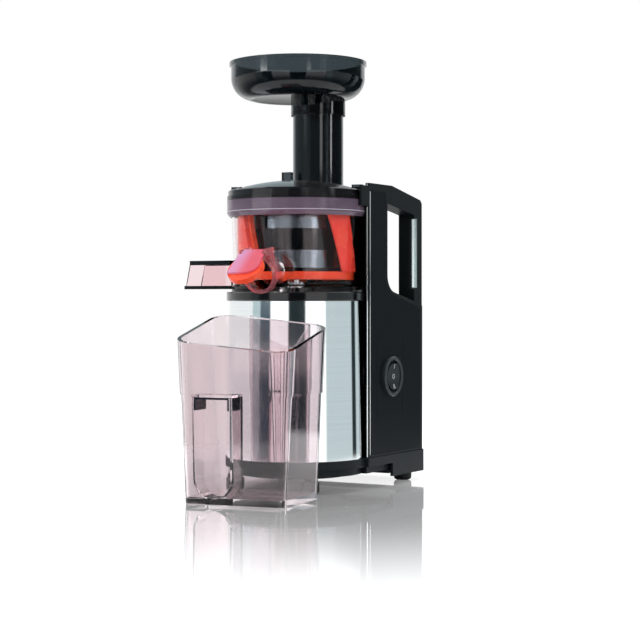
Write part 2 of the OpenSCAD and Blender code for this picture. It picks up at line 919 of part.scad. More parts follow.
// ---------- Gearbox ----------

// A tooth of the followed gear points along the centre line, and a space of the other one faces it.
output_turn = 90;
second_turn = 270 + 180 / second_teeth;
wheel_turn = 90;
pinion_turn = 270 + 180 / pinion_teeth;

module gearbox_plan(grow) {
    circle(gear_m * output_teeth / 2 + gear_room + grow);
    translate([0, lay_y]) circle(gear_m * wheel_teeth / 2 + gear_room + grow);
    translate([0, motor_y]) circle(gear_m * pinion_teeth / 2 + gear_room + grow);
}

gearbox_screw_places = [[-38, -26], [38, -26], [-36, 38], [36, 38]];

module gearbox_case() {
    color(zinc_grey) difference() {
        union() {
            translate([0, 0, z_case]) linear_extrude(gearbox_h) gearbox_plan(case_wall);
            for (p = gearbox_screw_places) translate([p.x, p.y, 0]) rod(lug_r, z_cover_plate - lug_h, z_cover_plate);
        }
        difference() {
            translate([0, 0, z_case + case_floor]) linear_extrude(gearbox_h) gearbox_plan(0);
            rod(bearing_r + case_wall, z_case, z_case + bearing_h + 2);
            translate([0, lay_y, 0]) rod(lay_r + case_wall, z_case, first_gear_z - gap);
        }
        rod(bearing_r, z_case + 2, z_case + big);
        translate([0, lay_y, 0]) rod(lay_r, z_case + 1, z_case + big);
        at_motor() rod(motor_shaft_r + 1, z_case - 1, z_case + big);
        for (p = gearbox_screw_places) translate([p.x, p.y, 0]) rod(1.5, z_cover_plate - 8, z_cover_plate + 1);
    }
}

module gearbox_cover() {
    color(zinc_grey) difference() {
        union() {
            translate([0, 0, z_cover_plate]) linear_extrude(cover_t) gearbox_plan(case_wall);
            for (p = gearbox_screw_places) translate([p.x, p.y, z_cover_plate]) cylinder(r = lug_r, h = cover_t);
            rod(bearing_r + case_wall, z_cover_plate, z_platform);
        }
        rod(bearing_r, z_cover_plate - 1, z_cover_plate + bearing_h - 1);
        rod(shaft_r + 1, z_cover_plate, z_platform + 1);
        translate([0, lay_y, 0]) rod(lay_r, z_cover_plate - 1, z_cover_plate + 2);
        for (p = gearbox_screw_places) translate([p.x, p.y, 0]) rod(1.6, z_cover_plate - 1, z_cover_plate + 4);
    }
}

module gearbox_screws() {
    color(steel_grey) for (p = gearbox_screw_places) translate([p.x, p.y, z_cover_plate + cover_t])
        mirror([0, 0, 1]) screw(1.5, 9);
}

module lay_pin() {
    color(steel_grey) translate([0, lay_y, 0]) rod(lay_r, z_case + 1, z_cover_plate + 2);
}

module lay_gear() {
    color(nylon_white) translate([0, lay_y, 0]) {
        gear(wheel_teeth, gear_m, wheel_turn, first_gear_z, first_gear_h, lay_r + run);
        gear(second_teeth, gear_m, second_turn, first_gear_z + first_gear_h,
            second_gear_z + second_gear_h - first_gear_z - first_gear_h, lay_r + run);
    }
}

module output_gear() {
    color(nylon_white) difference() {
        union() {
            gear(output_teeth, gear_m, output_turn, second_gear_z, second_gear_h, shaft_r);
            tube(shaft_r + 5, shaft_r, second_gear_z - 4, second_gear_z + second_gear_h + 3);
        }
        for (a = [0 : 60 : 300]) rotate(a) translate([24, 0, second_gear_z - 1])
            cylinder(r = 7, h = second_gear_h + 2);
    }
}

module drive_shaft() {
    color(steel_grey) {
        rod(shaft_r, shaft_foot_z + 1.5, z_seat + hub_h + 1);
        translate([0, 0, z_seat + hub_h + 1]) cylinder(r = hex_r, h = shaft_up - hub_h - 2, $fn = 6);
        translate([0, 0, z_seat + shaft_up - 1]) cylinder(r1 = hex_r, r2 = hex_r - 1, h = 1, $fn = 6);
    }
}

module shaft_bearings() {
    color(steel_grey) for (z = [z_case + 2, z_cover_plate - 1]) difference() {
        tube(bearing_r, shaft_r + run, z, z + bearing_h);
        for (end = [z - 1, z + bearing_h - 0.6]) tube(bearing_r - 1.6, shaft_r + 2, end, end + 1.6);
    }
}

module shaft_seal() {
    color(rubber_black) tube(shaft_r + 3.5, shaft_r + run, z_seat - 5, z_seat + hub_h);
}

// ---------- Bowl ----------

// Local frame of the spout's mouth: +Z out of the mouth, +Y up along its face
module at_mouth() {
    translate([spout_x, -mouth_y, mouth_z]) rotate([90 + spout_slope, 0, 0]) children();
}

module bowl_inside() {
    slope = (bowl_in_top_r - bowl_in_foot_r) / (z_bowl_top - z_floor);
    taper(bowl_in_foot_r, bowl_in_top_r + slope * 20, z_floor, z_bowl_top + 20);
}

module spout_hood() {
    hull() {
        at_mouth() translate([0, 0, -6]) cylinder(r = mouth_r - 1, h = 3, $fn = 48);
        translate([spout_x, -46, mouth_z + 10]) rotate([90, 0, 0]) scale([29 / 18, 1, 1])
            cylinder(r = 18, h = 2, $fn = 48);
    }
    at_mouth() translate([0, 0, -5]) cylinder(r = mouth_r, h = 5);
}

// Ears on both sides of the cap's hinge barrel
module cap_ears() {
    at_mouth() for (s = [-1, 1]) difference() {
        translate([s * (barrel_w / 2 + gap + ear_w / 2) - ear_w / 2, 0, 0]) {
            translate([0, hinge_up, hinge_out]) rotate([0, 90, 0]) cylinder(r = barrel_r, h = ear_w);
            translate([0, hinge_up - 12, -9]) cube([ear_w, 12 + barrel_r, 9]);
            translate([0, hinge_up - barrel_r, -1]) cube([ear_w, 2 * barrel_r, hinge_out + 1]);
        }
        translate([-big / 2, hinge_up, hinge_out]) rotate([0, 90, 0]) cylinder(r = cap_pin_r, h = big);
    }
}

module at_pulp() {
    translate([0, -pulp_y, z_seat + 3]) children();
}

// Clear outlet channel, open below and at its slanted end
module pulp_channel() {
    at_pulp() difference() {
        translate([-pulp_reach, -pulp_w / 2, 1.5]) cube([pulp_reach - bowl_foot_r + 6, pulp_w, pulp_h - 3]);
        translate([-pulp_reach - 1, -pulp_w / 2 + 2, -1])
            cube([pulp_reach - ring_r - 0.5, pulp_w - 4, pulp_h - 1.5]);
        translate([-pulp_reach, -big / 2, 0]) rotate([0, 12, 0]) translate([-big, 0, -big / 2])
            cube([big, big, big]);
    }
}

module bowl() {
    color(clear_pink) difference() {
        union() {
            rotate_extrude() polygon([[0, z_seat], [ring_r, z_seat], [ring_r, z_seat + 5.5],
                [bowl_foot_r + 0.8, z_seat + 7], [bowl_foot_r, z_floor - 1],
                [bowl_top_r, z_bowl_top], [0, z_bowl_top]]);
            spout_hood();
            pulp_channel();
        }
        difference() {
            bowl_inside();
            rod(strainer_r - 3.6, z_floor - 1, z_strainer);
        }
        tube(skirt_in_r + 10.2, neck_r + neck_wall, z_floor, z_strainer + 1);
        rotate(idler_turn) translate([idler_at, 0, 0])
            rod(brush_m * (idler_teeth / 2 + 1) + 0.8, z_floor, z_strainer + 1);
        rod(neck_r, z_seat - 1, big);
        rod(platform_r + gap, z_platform, z_seat);
        rod(hub_r + gap, z_seat - 1, z_seat + hub_h + gap);
        translate([-pulp_hole_x, 0, 0]) rod(pulp_hole_r, duct_z, z_strainer + 1);
        translate([-ring_r - 2, -duct_w / 2 - pulp_y, duct_z])
            cube([ring_r + 2 - pulp_hole_x, duct_w, duct_top - duct_z]);
        at_mouth() translate([0, 0, -26]) cylinder(r = spout_bore_r, h = 40);
        rotate(idler_turn) translate([idler_at, 0, 0]) rod(idler_pin_r, z_floor - 5, z_floor + 1);
    }
    color(clear_pink) {
        tube(neck_r + neck_wall, neck_r, z_floor - eps, z_floor + neck_h);
        cap_ears();
    }
}

module bowl_seal() {
    color(silicone_orange) tube(neck_r, hex_r + 0.4, z_floor - 4, z_floor + 5);
}

module idler_pin() {
    color(steel_grey) rotate(idler_turn) translate([idler_at, 0, 0])
        rod(idler_pin_r, z_floor - 5, z_gear + brush_gear_h - 0.5);
}

module idler_gear() {
    color(nylon_white) rotate(idler_turn) translate([idler_at, 0, 0])
        gear(idler_teeth, brush_m, 180 / idler_teeth, z_gear, brush_gear_h, idler_pin_r + run);
}

// Flat black tray under the outlet, its lips outside the channel's walls
module pulp_floor() {
    x1 = -ring_r - 0.6;
    color(gloss_black) at_pulp() difference() {
        translate([-pulp_reach - 0.5, -pulp_w / 2 - lip_t, 0])
            cube([pulp_reach + 0.5 + x1, pulp_w + 2 * lip_t, 3.4]);
        translate([-pulp_reach - 1, -pulp_w / 2, 1.5]) cube([pulp_reach + 2, pulp_w, 3]);
    }
}

module pulp_roof() {
    x0 = -pulp_reach + 0.21 * pulp_h;
    color(gloss_black) at_pulp() difference() {
        translate([x0, -pulp_w / 2 - lip_t, pulp_h - 4.5])
            cube([-x0 - bowl_top_r - 1.4, pulp_w + 2 * lip_t, 4.5]);
        translate([x0 - 1, -pulp_w / 2, pulp_h - 5]) cube([-x0, pulp_w, 3.5]);
    }
}

// ---------- Juice cap ----------

// Turns the closed cap open about its hinge
module cap_pose() {
    at_mouth() translate([0, hinge_up, hinge_out]) rotate([-cap_open, 0, 0])
        translate([0, -hinge_up, -hinge_out]) children();
}

// Tongue with one square corner to lift it by, narrowed to pass between the ears
module flap_plan() {
    low = hinge_up - flap_reach;
    neck = hinge_up - barrel_r - 1;
    polygon(concat(
        [[-barrel_w / 2, hinge_up], [-barrel_w / 2, neck], [-flap_top_w / 2, neck], [-flap_w / 2, low]],
        arc(flap_w / 2 - flap_corner, low + flap_corner, flap_corner, 270, 360, 8),
        [[flap_top_w / 2, neck], [barrel_w / 2, neck], [barrel_w / 2, hinge_up]]));
}

module juice_cap() {
    z0 = gap + plug_t;
    color(clear_pink) cap_pose() difference() {
        union() {
            translate([0, 0, z0]) linear_extrude(cap_t) flap_plan();
            translate([-barrel_w / 2, hinge_up, hinge_out]) rotate([0, 90, 0])
                cylinder(r = barrel_r, h = barrel_w);
        }
        translate([-big / 2, hinge_up, hinge_out]) rotate([0, 90, 0])
            cylinder(r = cap_pin_r + run, h = big);
    }
}

module cap_plug() {
    color(silicone_orange) cap_pose() {
        translate([0, 0, gap]) cylinder(r = plug_r, h = plug_t);
        translate([0, 0, gap - 5]) cylinder(r1 = 12.4, r2 = 13.6, h = 5 + eps);
    }
}

module cap_pin() {
    half = barrel_w / 2 + gap + ear_w;
    color(steel_grey) at_mouth() translate([-half, hinge_up, hinge_out]) rotate([0, 90, 0])
        cylinder(r = cap_pin_r, h = 2 * half);
}

// ---------- Strainer and brush ----------

window_count = 4;
window_w = 62;

// Window cutter set into the strainer's wall between two heights
module strainer_windows(z0, z1) {
    for (k = [0 : window_count - 1]) rotate(k * 360 / window_count + 30)
        translate([strainer_r / 2, -window_w / 2, z0]) cube([strainer_r, window_w, z1 - z0]);
}

module strainer_frame() {
    r_in = strainer_r - strainer_wall;
    top = z_strainer + strainer_h;
    band = z_strainer + strainer_band_z;
    color(gloss_black) difference() {
        rod(strainer_r, z_strainer, top);
        rod(r_in, z_strainer + 2.5, top + 1);
        rod(skirt_in_r + 10.2, z_strainer - 1, z_strainer + 3);
        translate([-pulp_hole_x, 0, 0]) rod(pulp_hole_r, z_strainer - 1, z_strainer + 3);
        strainer_windows(z_strainer + 5, band);
        strainer_windows(band + strainer_band_h, top - 2.5);
    }
}

module strainer_mesh() {
    r = strainer_r - strainer_wall;
    color(steel_grey) tube(r, r - 0.5, z_strainer + 3.5, z_strainer + strainer_h - 2);
}

// Part of a ring from radius r0 to r1, between leaning planes y0 and y1 across an arm's direction.
// It runs into the brush's rings by a little where over is set.
module leaning_band(r0, r1, y0, y1, over) {
    intersection() {
        tube(r1, r0, z_gear + brush_ring_h - over, z_gear + brush_h - brush_top_h + over);
        translate([0, 0, z_gear + brush_h / 2]) rotate([arm_lean, 0, 0])
            translate([0, y0, -brush_h]) cube([90, y1 - y0, 2 * brush_h]);
    }
}

module at_arms() {
    for (k = [0 : arm_count - 1]) rotate(arm_turn + k * 360 / arm_count) children();
}

// Inner and outer radius of the brush's arms
arm_r0 = strainer_r + 3.2;
arm_r1 = brush_r - 1.4;

module brush_frame() {
    r_in = strainer_r + 0.8;
    color(silicone_orange) {
        tube(brush_r, r_in, z_gear + brush_gear_h, z_gear + brush_ring_h);
        translate([0, 0, z_gear]) linear_extrude(brush_gear_h) difference() {
            circle(brush_r);
            gear_plan(ring_teeth, brush_m, idler_turn + 180 / ring_teeth, 1.25, 0.9, -2);
        }
        tube(brush_r, r_in + 1.2, z_gear + brush_h - brush_top_h, z_gear + brush_h);
        at_arms() leaning_band(arm_r0, arm_r1, -5.5, 5.5, 1);
    }
}

// Silicone strips seated on the arms: one wipes the strainer, and one with a trailing lip wipes the bowl
module brush_wipers() {
    wipe_r = bowl_in_foot_r - 0.5;
    color([0.98, 0.35, 0.18]) at_arms() {
        leaning_band(strainer_r + 0.4, arm_r0, -1.5, 1.5, 0);
        leaning_band(arm_r1, wipe_r, -2, 2, 0);
        leaning_band(wipe_r - 1.6, wipe_r, -lip_w, 1, 0);
    }
}

// ---------- Auger ----------

module flight(turn) {
    height = auger_h - 3;
    span = flight_t * 360 / flight_pitch;
    translate([0, 0, z_auger]) rotate(turn)
        linear_extrude(height, twist = height * 360 / flight_pitch, slices = 36, $fn = 8)
        polygon(concat(arc(0, 0, flight_r, 0, span, 3), arc(0, 0, core_head_r - 3, span, 0, 1)));
}

module auger() {
    color(gloss_black) difference() {
        union() {
            rotate_extrude() polygon([[0, z_auger - 2], [skirt_in_r + 8.6, z_auger - 2],
                [skirt_in_r + 8.6, z_auger], [core_foot_r, z_auger], [core_foot_r, z_auger + 4],
                [core_head_r, z_auger_head - 4], [core_head_r - 5, z_auger_head],
                [pin_r + 2, z_lid - 3], [pin_r, z_lid - 2], [pin_r, pin_top_z], [0, pin_top_z]]);
            for (k = [0 : flight_count - 1]) flight(k * 360 / flight_count);
            translate([0, 0, z_gear]) linear_extrude(z_auger - 2 - z_gear + eps)
                circle(skirt_in_r + 2.2);
            gear(sun_teeth, brush_m, idler_turn, z_gear, brush_gear_h, skirt_in_r);
        }
        rod(skirt_in_r, z_gear - 1, z_floor + neck_h + 0.6);
        rod(socket_r, z_gear, z_auger + 22);
    }
}

module auger_socket() {
    top = z_auger + 22;
    color(steel_grey) difference() {
        rod(socket_r, z_floor + neck_h + 0.6, top);
        translate([0, 0, z_floor]) cylinder(r = hex_r + hex_gap, h = z_seat + shaft_up + 1 - z_floor, $fn = 6);
    }
}

// ---------- Lid ----------

module dome(drop) {
    translate([0, 0, dome_ball_z]) sphere(r = dome_ball_r - drop, $fn = 180);
}

module lid() {
    color(smoke) difference() {
        union() {
            intersection() {
                rod(dome_r, z_lid, z_rim + dome_rise + 1);
                dome(0);
            }
            translate([tube_x, tube_y, 0]) rod(tube_r, z_lid + 6, z_tray);
            for (a = [lug_turn, 180 + lug_turn]) rotate(a) translate([58, -4, z_rim]) cube([10.5, 8, 5]);
            translate([-16, -3, z_rim + 6]) cube([10, 6, 13]);
        }
        difference() {
            rod(dome_r - lid_wall, z_lid - 1, z_rim + dome_rise);
            difference() {
                rod(dome_r, 0, big);
                dome(lid_wall);
            }
            rod(6.5, z_lid, big);
            translate([tube_x, tube_y, 0]) rod(tube_r, z_lid + 6, z_tray);
        }
        translate([tube_x, tube_y, 0]) rod(tube_bore_r, z_lid - 1, z_tray + 1);
        rod(pin_r + run, z_lid - 1, pin_top_z + 0.5);
    }
}

module lid_rim() {
    color(gloss_black) rotate_extrude() polygon([[dome_r, z_lid + 7], [rim_r, z_lid + 7],
        [rim_r, z_rim - 1], [rim_r - 1.5, z_rim], [dome_r, z_rim]]);
}

module lid_collar() {
    z0 = z_lid + 7 - collar_h;
    t = 2.2;
    color(plum_grey) rotate_extrude() polygon([[collar_r - t - 1.2, z0 - 2.5], [collar_r - 2.6, z0 - 2.5],
        [collar_r, z0 + 1], [collar_r, z_lid + 7], [collar_r - 4, z_lid + 7],
        [collar_r - 4, z_lid + 4.8], [collar_r - t, z_lid + 4.8], [collar_r - t, z0 + 1],
        [collar_r - t - 1.2, z0]]);
}

module lid_gasket() {
    color(silicone_orange) tube(dome_r - 0.3, bowl_in_top_r + 0.1, z_bowl_top, z_lid);
}

// ---------- Tray ----------

// Half section of the dish, shrunk by inset, as a sketch of radius and height
module dish_section(inset) {
    cr = tray_r - 1.7 - tray_corner;
    cz = z_tray + tray_corner;
    top = z_tray + tray_h + (inset > 0 ? 1 : 0);
    translate([0, z_tray + inset]) square([cr, top - z_tray - inset]);
    translate([0, cz]) square([cr + tray_corner - inset, top - cz]);
    intersection() {
        translate([cr, cz]) circle(tray_corner - inset);
        translate([0, z_tray]) square([big, tray_corner]);
    }
}

module tray() {
    color(smoke) difference() {
        union() {
            translate([0, 2, 0]) rotate_extrude() difference() {
                dish_section(0);
                dish_section(tray_wall);
            }
            translate([0, 2, 0]) tube(tray_r, tray_r - 1.9, z_tray + tray_h - 3, z_tray + tray_h);
            translate([tube_x, tube_y, 0]) rod(tube_r + gap + 1.8, z_tray - sleeve_h, z_tray + tray_wall);
        }
        translate([tube_x, tube_y, 0]) {
            rod(tube_bore_r + 0.8, z_tray - 20, big + big);
            rod(tube_r + gap, z_tray - sleeve_h - 1, z_tray);
        }
    }
}

// ---------- Jug ----------

module jug_form(inset, z0) {
    foot_corner = 9;
    rim_corner = 20;
    top = jug_h + 24;
    flare = jug_flare * top / jug_h;
    hull() for (sx = [-1, 1], sy = [-1, 1]) {
        translate([sx * (jug_w / 2 - foot_corner), sy * (jug_d / 2 - foot_corner), z0])
            cylinder(r = foot_corner - inset, h = 1, $fn = 32);
        translate([sx * (jug_w / 2 + flare - rim_corner), sy * (jug_d / 2 + flare - rim_corner), top])
            cylinder(r = rim_corner - inset, h = 1, $fn = 32);
    }
}

module level(z0, z1) {
    translate([-big / 2, -big / 2, z0]) cube([big, big, z1 - z0]);
}

// The jug's solid, a little narrower below its ledge
module stepped_form(inset, z0) {
    intersection() {
        jug_form(inset + 1.2, z0);
        level(-1, ledge_z);
    }
    intersection() {
        jug_form(inset, z0);
        level(ledge_z - eps, big);
    }
}

// U-shaped finger recess in the front wall, grown by its wall
module recess_form(grow) {
    r = recess_w / 2;
    z0 = 5 + r;
    translate([recess_x, -jug_d / 2 - 12, 0]) {
        translate([0, 0, z0]) rotate([-90, 0, 0]) cylinder(r = r + grow, h = recess_d + 12 + grow);
        translate([-r - grow, 0, z0]) cube([recess_w + 2 * grow, recess_d + 12 + grow, recess_h - z0 + grow]);
    }
}

// Everything above the sloping rim
module above_rim() {
    translate([0, 0, jug_h]) rotate([atan(rim_rise / (jug_d + 2 * jug_flare)), 0, 0])
        rotate([0, atan(rim_side / (jug_w + 2 * jug_flare)), 0])
        translate([-big / 2, -big / 2, 0]) cube([big, big, big]);
}

module at_jug() {
    translate([jug_x, -jug_y, 0]) rotate(jug_turn) children();
}

module jug() {
    color(clear_pink) at_jug() difference() {
        union() {
            difference() {
                stepped_form(0, 0);
                jug_form(jug_wall + 1.2, 6);
            }
            intersection() {
                jug_form(1.3, 0);
                recess_form(jug_wall);
            }
        }
        recess_form(0);
        above_rim();
    }
}

// Dark frame that lines the top of the recess
module jug_grip() {
    t = 2;
    low = recess_h - 12;
    color([0.1, 0.08, 0.14]) at_jug() translate([recess_x, -jug_d / 2 - 2.4, 0]) difference() {
        translate([-recess_w / 2 + run, 0, low]) cube([recess_w - 2 * run, recess_d + 2, recess_h - low - run]);
        translate([-recess_w / 2 + t, -1, low - 1]) cube([recess_w - 2 * t, recess_d + 4, 13 - t]);
    }
}

base();
bottom_cover();
rubber_feet();
cover_screws();
column_housing();
steel_wrap();
platform();
rear_shell_right();
rear_shell_left();
shell_screws();
side_panel_right();
side_panel_left();
switch_plate();
switch_bezel();
switch_rocker();
switch_body();
control_board();
cord_grommet();
motor_stator();
motor_coils();
motor_bracket_top();
motor_bracket_bottom();
motor_rotor();
gearbox_case();
gearbox_cover();
gearbox_screws();
lay_pin();
lay_gear();
output_gear();
drive_shaft();
shaft_bearings();
shaft_seal();
bowl();
bowl_seal();
idler_pin();
idler_gear();
pulp_floor();
pulp_roof();
juice_cap();
cap_plug();
cap_pin();
strainer_frame();
strainer_mesh();
brush_frame();
brush_wipers();
auger();
auger_socket();
lid();
lid_rim();
lid_collar();
lid_gasket();
tray();
jug();
jug_grip();
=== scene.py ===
import math

import bmesh
import bpy
from mathutils import Matrix, Vector


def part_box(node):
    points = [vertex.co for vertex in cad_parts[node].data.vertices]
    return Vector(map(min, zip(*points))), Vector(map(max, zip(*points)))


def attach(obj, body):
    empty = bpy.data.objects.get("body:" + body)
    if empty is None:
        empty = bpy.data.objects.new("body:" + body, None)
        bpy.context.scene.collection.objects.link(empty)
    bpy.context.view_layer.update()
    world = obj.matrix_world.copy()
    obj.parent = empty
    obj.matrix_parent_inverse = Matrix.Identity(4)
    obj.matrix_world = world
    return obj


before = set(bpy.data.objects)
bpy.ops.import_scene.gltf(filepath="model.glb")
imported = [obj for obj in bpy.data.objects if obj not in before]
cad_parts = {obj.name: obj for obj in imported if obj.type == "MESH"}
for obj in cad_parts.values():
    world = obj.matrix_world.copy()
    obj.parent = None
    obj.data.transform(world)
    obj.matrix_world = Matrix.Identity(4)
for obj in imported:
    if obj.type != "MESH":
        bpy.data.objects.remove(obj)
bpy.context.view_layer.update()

bl_info = {
    "name": "Cold press juicer dressing",
    "version": (1, 0, 0),
    "blender": (4, 5, 0),
    "location": "View3D > Sidebar > Juicer",
    "description": "Finishes, thin trim and a plain studio for an upright cold press juicer",
    "category": "Add Mesh",
}

MM = 0.001


def rgb(r, g, b):
    return (r, g, b, 1.0)


def times(colour, share):
    """A colour made lighter or darker."""
    return tuple(min(1.0, c * share) for c in colour[:3]) + (1.0,)


# ---------- Shader helpers ----------


class Wire:
    """One shader socket that can be used in sums."""

    def __init__(self, finish, socket):
        self.finish = finish
        self.socket = socket

    def __add__(self, other):
        return self.finish.maths("ADD", self, other)

    def __radd__(self, other):
        return self.finish.maths("ADD", other, self)

    def __sub__(self, other):
        return self.finish.maths("SUBTRACT", self, other)

    def __rsub__(self, other):
        return self.finish.maths("SUBTRACT", other, self)

    def __mul__(self, other):
        return self.finish.maths("MULTIPLY", self, other)

    def __rmul__(self, other):
        return self.finish.maths("MULTIPLY", other, self)

    def __truediv__(self, other):
        return self.finish.maths("DIVIDE", self, other)

    def __rtruediv__(self, other):
        return self.finish.maths("DIVIDE", other, self)

    def __pow__(self, other):
        return self.finish.maths("POWER", self, other)

    def __gt__(self, other):
        return self.finish.maths("GREATER_THAN", self, other)

    def __lt__(self, other):
        return self.finish.maths("LESS_THAN", self, other)

    def most(self, other):
        return self.finish.maths("MAXIMUM", self, other)

    def sine(self):
        return self.finish.maths("SINE", self)

    def wrap(self, length):
        """What is left after whole lengths are taken off."""
        return self.finish.maths("WRAP", self, length, 0.0)

    def step(self, low, high):
        """0 below low, 1 above high and a smooth rise between."""
        return self.finish.add(
            "ShaderNodeMapRange",
            {"interpolation_type": "SMOOTHSTEP"},
            {"Value": self, "From Min": low, "From Max": high},
        )

    def inside(self, low, high, soft):
        """1 between low and high and 0 outside, with soft edges."""
        return self.step(low - soft, low + soft) * (1.0 - self.step(high - soft, high + soft))


class Finish:
    """Builds one material out of nodes."""

    def __init__(self, name, tree=None):
        if tree is None:
            self.material = bpy.data.materials.new(name)
            self.material.use_nodes = True
            tree = self.material.node_tree
        self.tree = tree
        tree.nodes.clear()

    def add(self, kind, settings=None, values=None, output=0):
        """Adds a node, sets its settings, then its sockets, and returns one output."""
        node = self.tree.nodes.new(kind)
        for name, value in (settings or {}).items():
            setattr(node, name, value)
        for name, value in (values or {}).items():
            socket = node.inputs[name]
            if isinstance(value, Wire):
                self.tree.links.new(value.socket, socket)
            elif value is not None:
                socket.default_value = value
        return Wire(self, node.outputs[output])

    def maths(self, operation, *terms):
        """Adds a Math node."""
        return self.add("ShaderNodeMath", {"operation": operation}, dict(enumerate(terms)))

    def blend(self, factor, first, second):
        """Mixes two colours."""
        # A Mix node has sockets for every data type, and its colour ones are told by number
        return self.add(
            "ShaderNodeMix", {"data_type": "RGBA"}, {0: factor, 6: first, 7: second}, output=2)

    def mix(self, factor, first, second):
        """Mixes two shaders."""
        return self.add("ShaderNodeMixShader", None, {0: factor, 1: first, 2: second})

    def ray(self, kind):
        """What sort of ray asks for the colour."""
        return self.add("ShaderNodeLightPath", output=kind)

    def place(self, axis=None):
        """Object coordinates, or one axis of them."""
        where = self.add("ShaderNodeTexCoord", output="Object")
        if axis is None:
            return where
        return self.add("ShaderNodeSeparateXYZ", values={0: where}, output=axis)

    def away(self, centre=(0.0, 0.0)):
        """Distance from an upright axis, which is the machine's own unless a centre is given."""
        x, y = self.place("X") - centre[0], self.place("Y") - centre[1]
        return (x * x + y * y) ** 0.5

    def noise(self, scale, detail=2.0, roughness=0.5, stretch=None):
        where = self.place()
        if stretch:
            where = self.add(
                "ShaderNodeVectorMath", {"operation": "MULTIPLY"}, {0: where, 1: stretch})
        return self.add(
            "ShaderNodeTexNoise", None,
            {"Vector": where, "Scale": scale, "Detail": detail, "Roughness": roughness},
        )

    def soft_edges(self, radius):
        return self.add("ShaderNodeBevel", {"samples": 4}, {"Radius": radius})

    def bump(self, height, distance, strength, normal=None):
        values = {"Height": height, "Distance": distance, "Strength": strength, "Normal": normal}
        return self.add("ShaderNodeBump", None, values)

    def flow_waves(self, strength):
        """Faint waves that moulding leaves in clear plastic."""
        waves = self.noise(35.0, stretch=(1.0, 1.0, 0.35))
        return self.bump(waves, 0.02 * MM, strength)

    def principled(self, **values):
        """Principled shader. Underscores in its sockets' names stand for spaces."""
        values = {name.replace("_", " "): value for name, value in values.items()}
        return self.add("ShaderNodeBsdfPrincipled", None, values)

    def surface(self, **values):
        """Principled shader as the material's surface."""
        return self.output(self.principled(**values))

    def output(self, shader, kind="ShaderNodeOutputMaterial"):
        """Ends the nodes with a shader, and returns the material if there is one."""
        self.tree.links.new(shader.socket, self.tree.nodes.new(kind).inputs["Surface"])
        return getattr(self, "material", None)


# ---------- Finishes ----------

# Where a finish changes on a solid: start and end of the change, in metres
# Below these heights the tray turns near-black, which is painted shade under the tray
TRAY_SHADE_HEIGHTS = (0.376, 0.379)
CAP_MIDDLE = (-0.008, 0.008)
BOWL_WALL = (0.073, 0.077)
SPOUT_SIDE = (-0.047, -0.043)
COLLAR_TOP = (0.2852, 0.2862)

# Pale metallic strip on the front corner of each grip, a painted reflection: square of the
# distance from the middle, and Y and Z ranges
CORNER_SQUARE = (0.00494, 0.00504)
CORNER_Y = (0.1158, 0.1216)
CORNER_Z = (0.2, 0.271)
CORNER_HIGHLIGHT_COLOUR = rgb(0.55, 0.62, 0.62)

# Holes of the strainer: height of a row, distance along it, radius of the wall and size in cells
HOLE_ROW = 1.2 * MM
HOLE_PITCH = 1.4 * MM
STRAINER_RADIUS = 45.5 * MM
HOLE_SIZE = 0.085


def moulded_grain(f, colour, rough):
    """Colour, roughness and height of a fine spark-eroded grain with slightly rubbed areas."""
    fine = f.noise(2600.0)
    broad = f.noise(30.0, 3.0)
    tone = f.blend(broad, times(colour, 0.88), times(colour, 1.12))
    return tone, fine * 0.1 + broad * 0.08 + (rough - 0.09), fine


def grained_plastic(name, colour, rough, shine=0.16):
    """Moulded plastic with a fine grain."""
    f = Finish(name)
    tone, dull, fine = moulded_grain(f, colour, rough)
    return f.surface(
        Base_Color=tone, Roughness=dull, Specular_IOR_Level=shine,
        Normal=f.bump(fine, 0.02 * MM, 0.7, f.soft_edges(0.5 * MM)),
    )


def housing_plastic(name, colour, rough):
    """Grained plastic. The grips' rounded front corners carry a pale, smooth metal strip, which is
    a painted reflection.
    """
    f = Finish(name)
    tone, dull, fine = moulded_grain(f, colour, rough)
    x = f.place("X")
    # Mask of the pale metallic corner strip: a painted reflection of a soft box
    corner = (x * x).step(*CORNER_SQUARE) * f.place("Y").inside(*CORNER_Y, 0.2 * MM)
    corner = corner * f.place("Z").inside(*CORNER_Z, 1.0 * MM)
    return f.surface(
        Base_Color=f.blend(corner, tone, CORNER_HIGHLIGHT_COLOUR), Metallic=corner * 0.95,
        Roughness=dull * (1.0 - corner * 0.75), Specular_IOR_Level=0.1,
        Normal=f.bump(fine, 0.02 * MM, 0.7, f.soft_edges(1.2 * MM)),
    )


def polished_plastic(name, colour, rough=0.08, shine=0.35, coat=0.3):
    """Moulded plastic with a polished skin that is very slightly wavy and handled."""
    f = Finish(name)
    wave = f.noise(70.0)
    smear = f.noise(22.0, 4.0)
    return f.surface(
        Base_Color=f.blend(smear, colour, times(colour, 1.25)),
        Roughness=smear * 0.07 + (rough - 0.02),
        Normal=f.bump(wave, 0.04 * MM, 0.35, f.soft_edges(0.4 * MM)),
        Specular_IOR_Level=shine, Coat_Weight=coat, Coat_Roughness=0.04,
    )


def clear_plastic(name, tint, rough, across=None, low=None, index=1.46, clear=1.0):
    """Clear moulded plastic, which may have another tint across a cap, or a near-black painted
    shade low in a tray.
    """
    f = Finish(name)
    smear = f.noise(18.0, 4.0)
    tone = f.blend(smear, tint, times(tint, 1.02))
    # Near-black low down: painted shade under the tray
    if low:
        tone = f.blend(f.place("Z").step(*TRAY_SHADE_HEIGHTS), low, tone)
    if across:
        tone = f.blend(f.place("X").step(*CAP_MIDDLE), tone, across)
    return f.surface(
        Base_Color=tone, Roughness=smear * 0.03 + rough, Normal=f.flow_waves(0.15),
        Transmission_Weight=clear, IOR=index,
    )


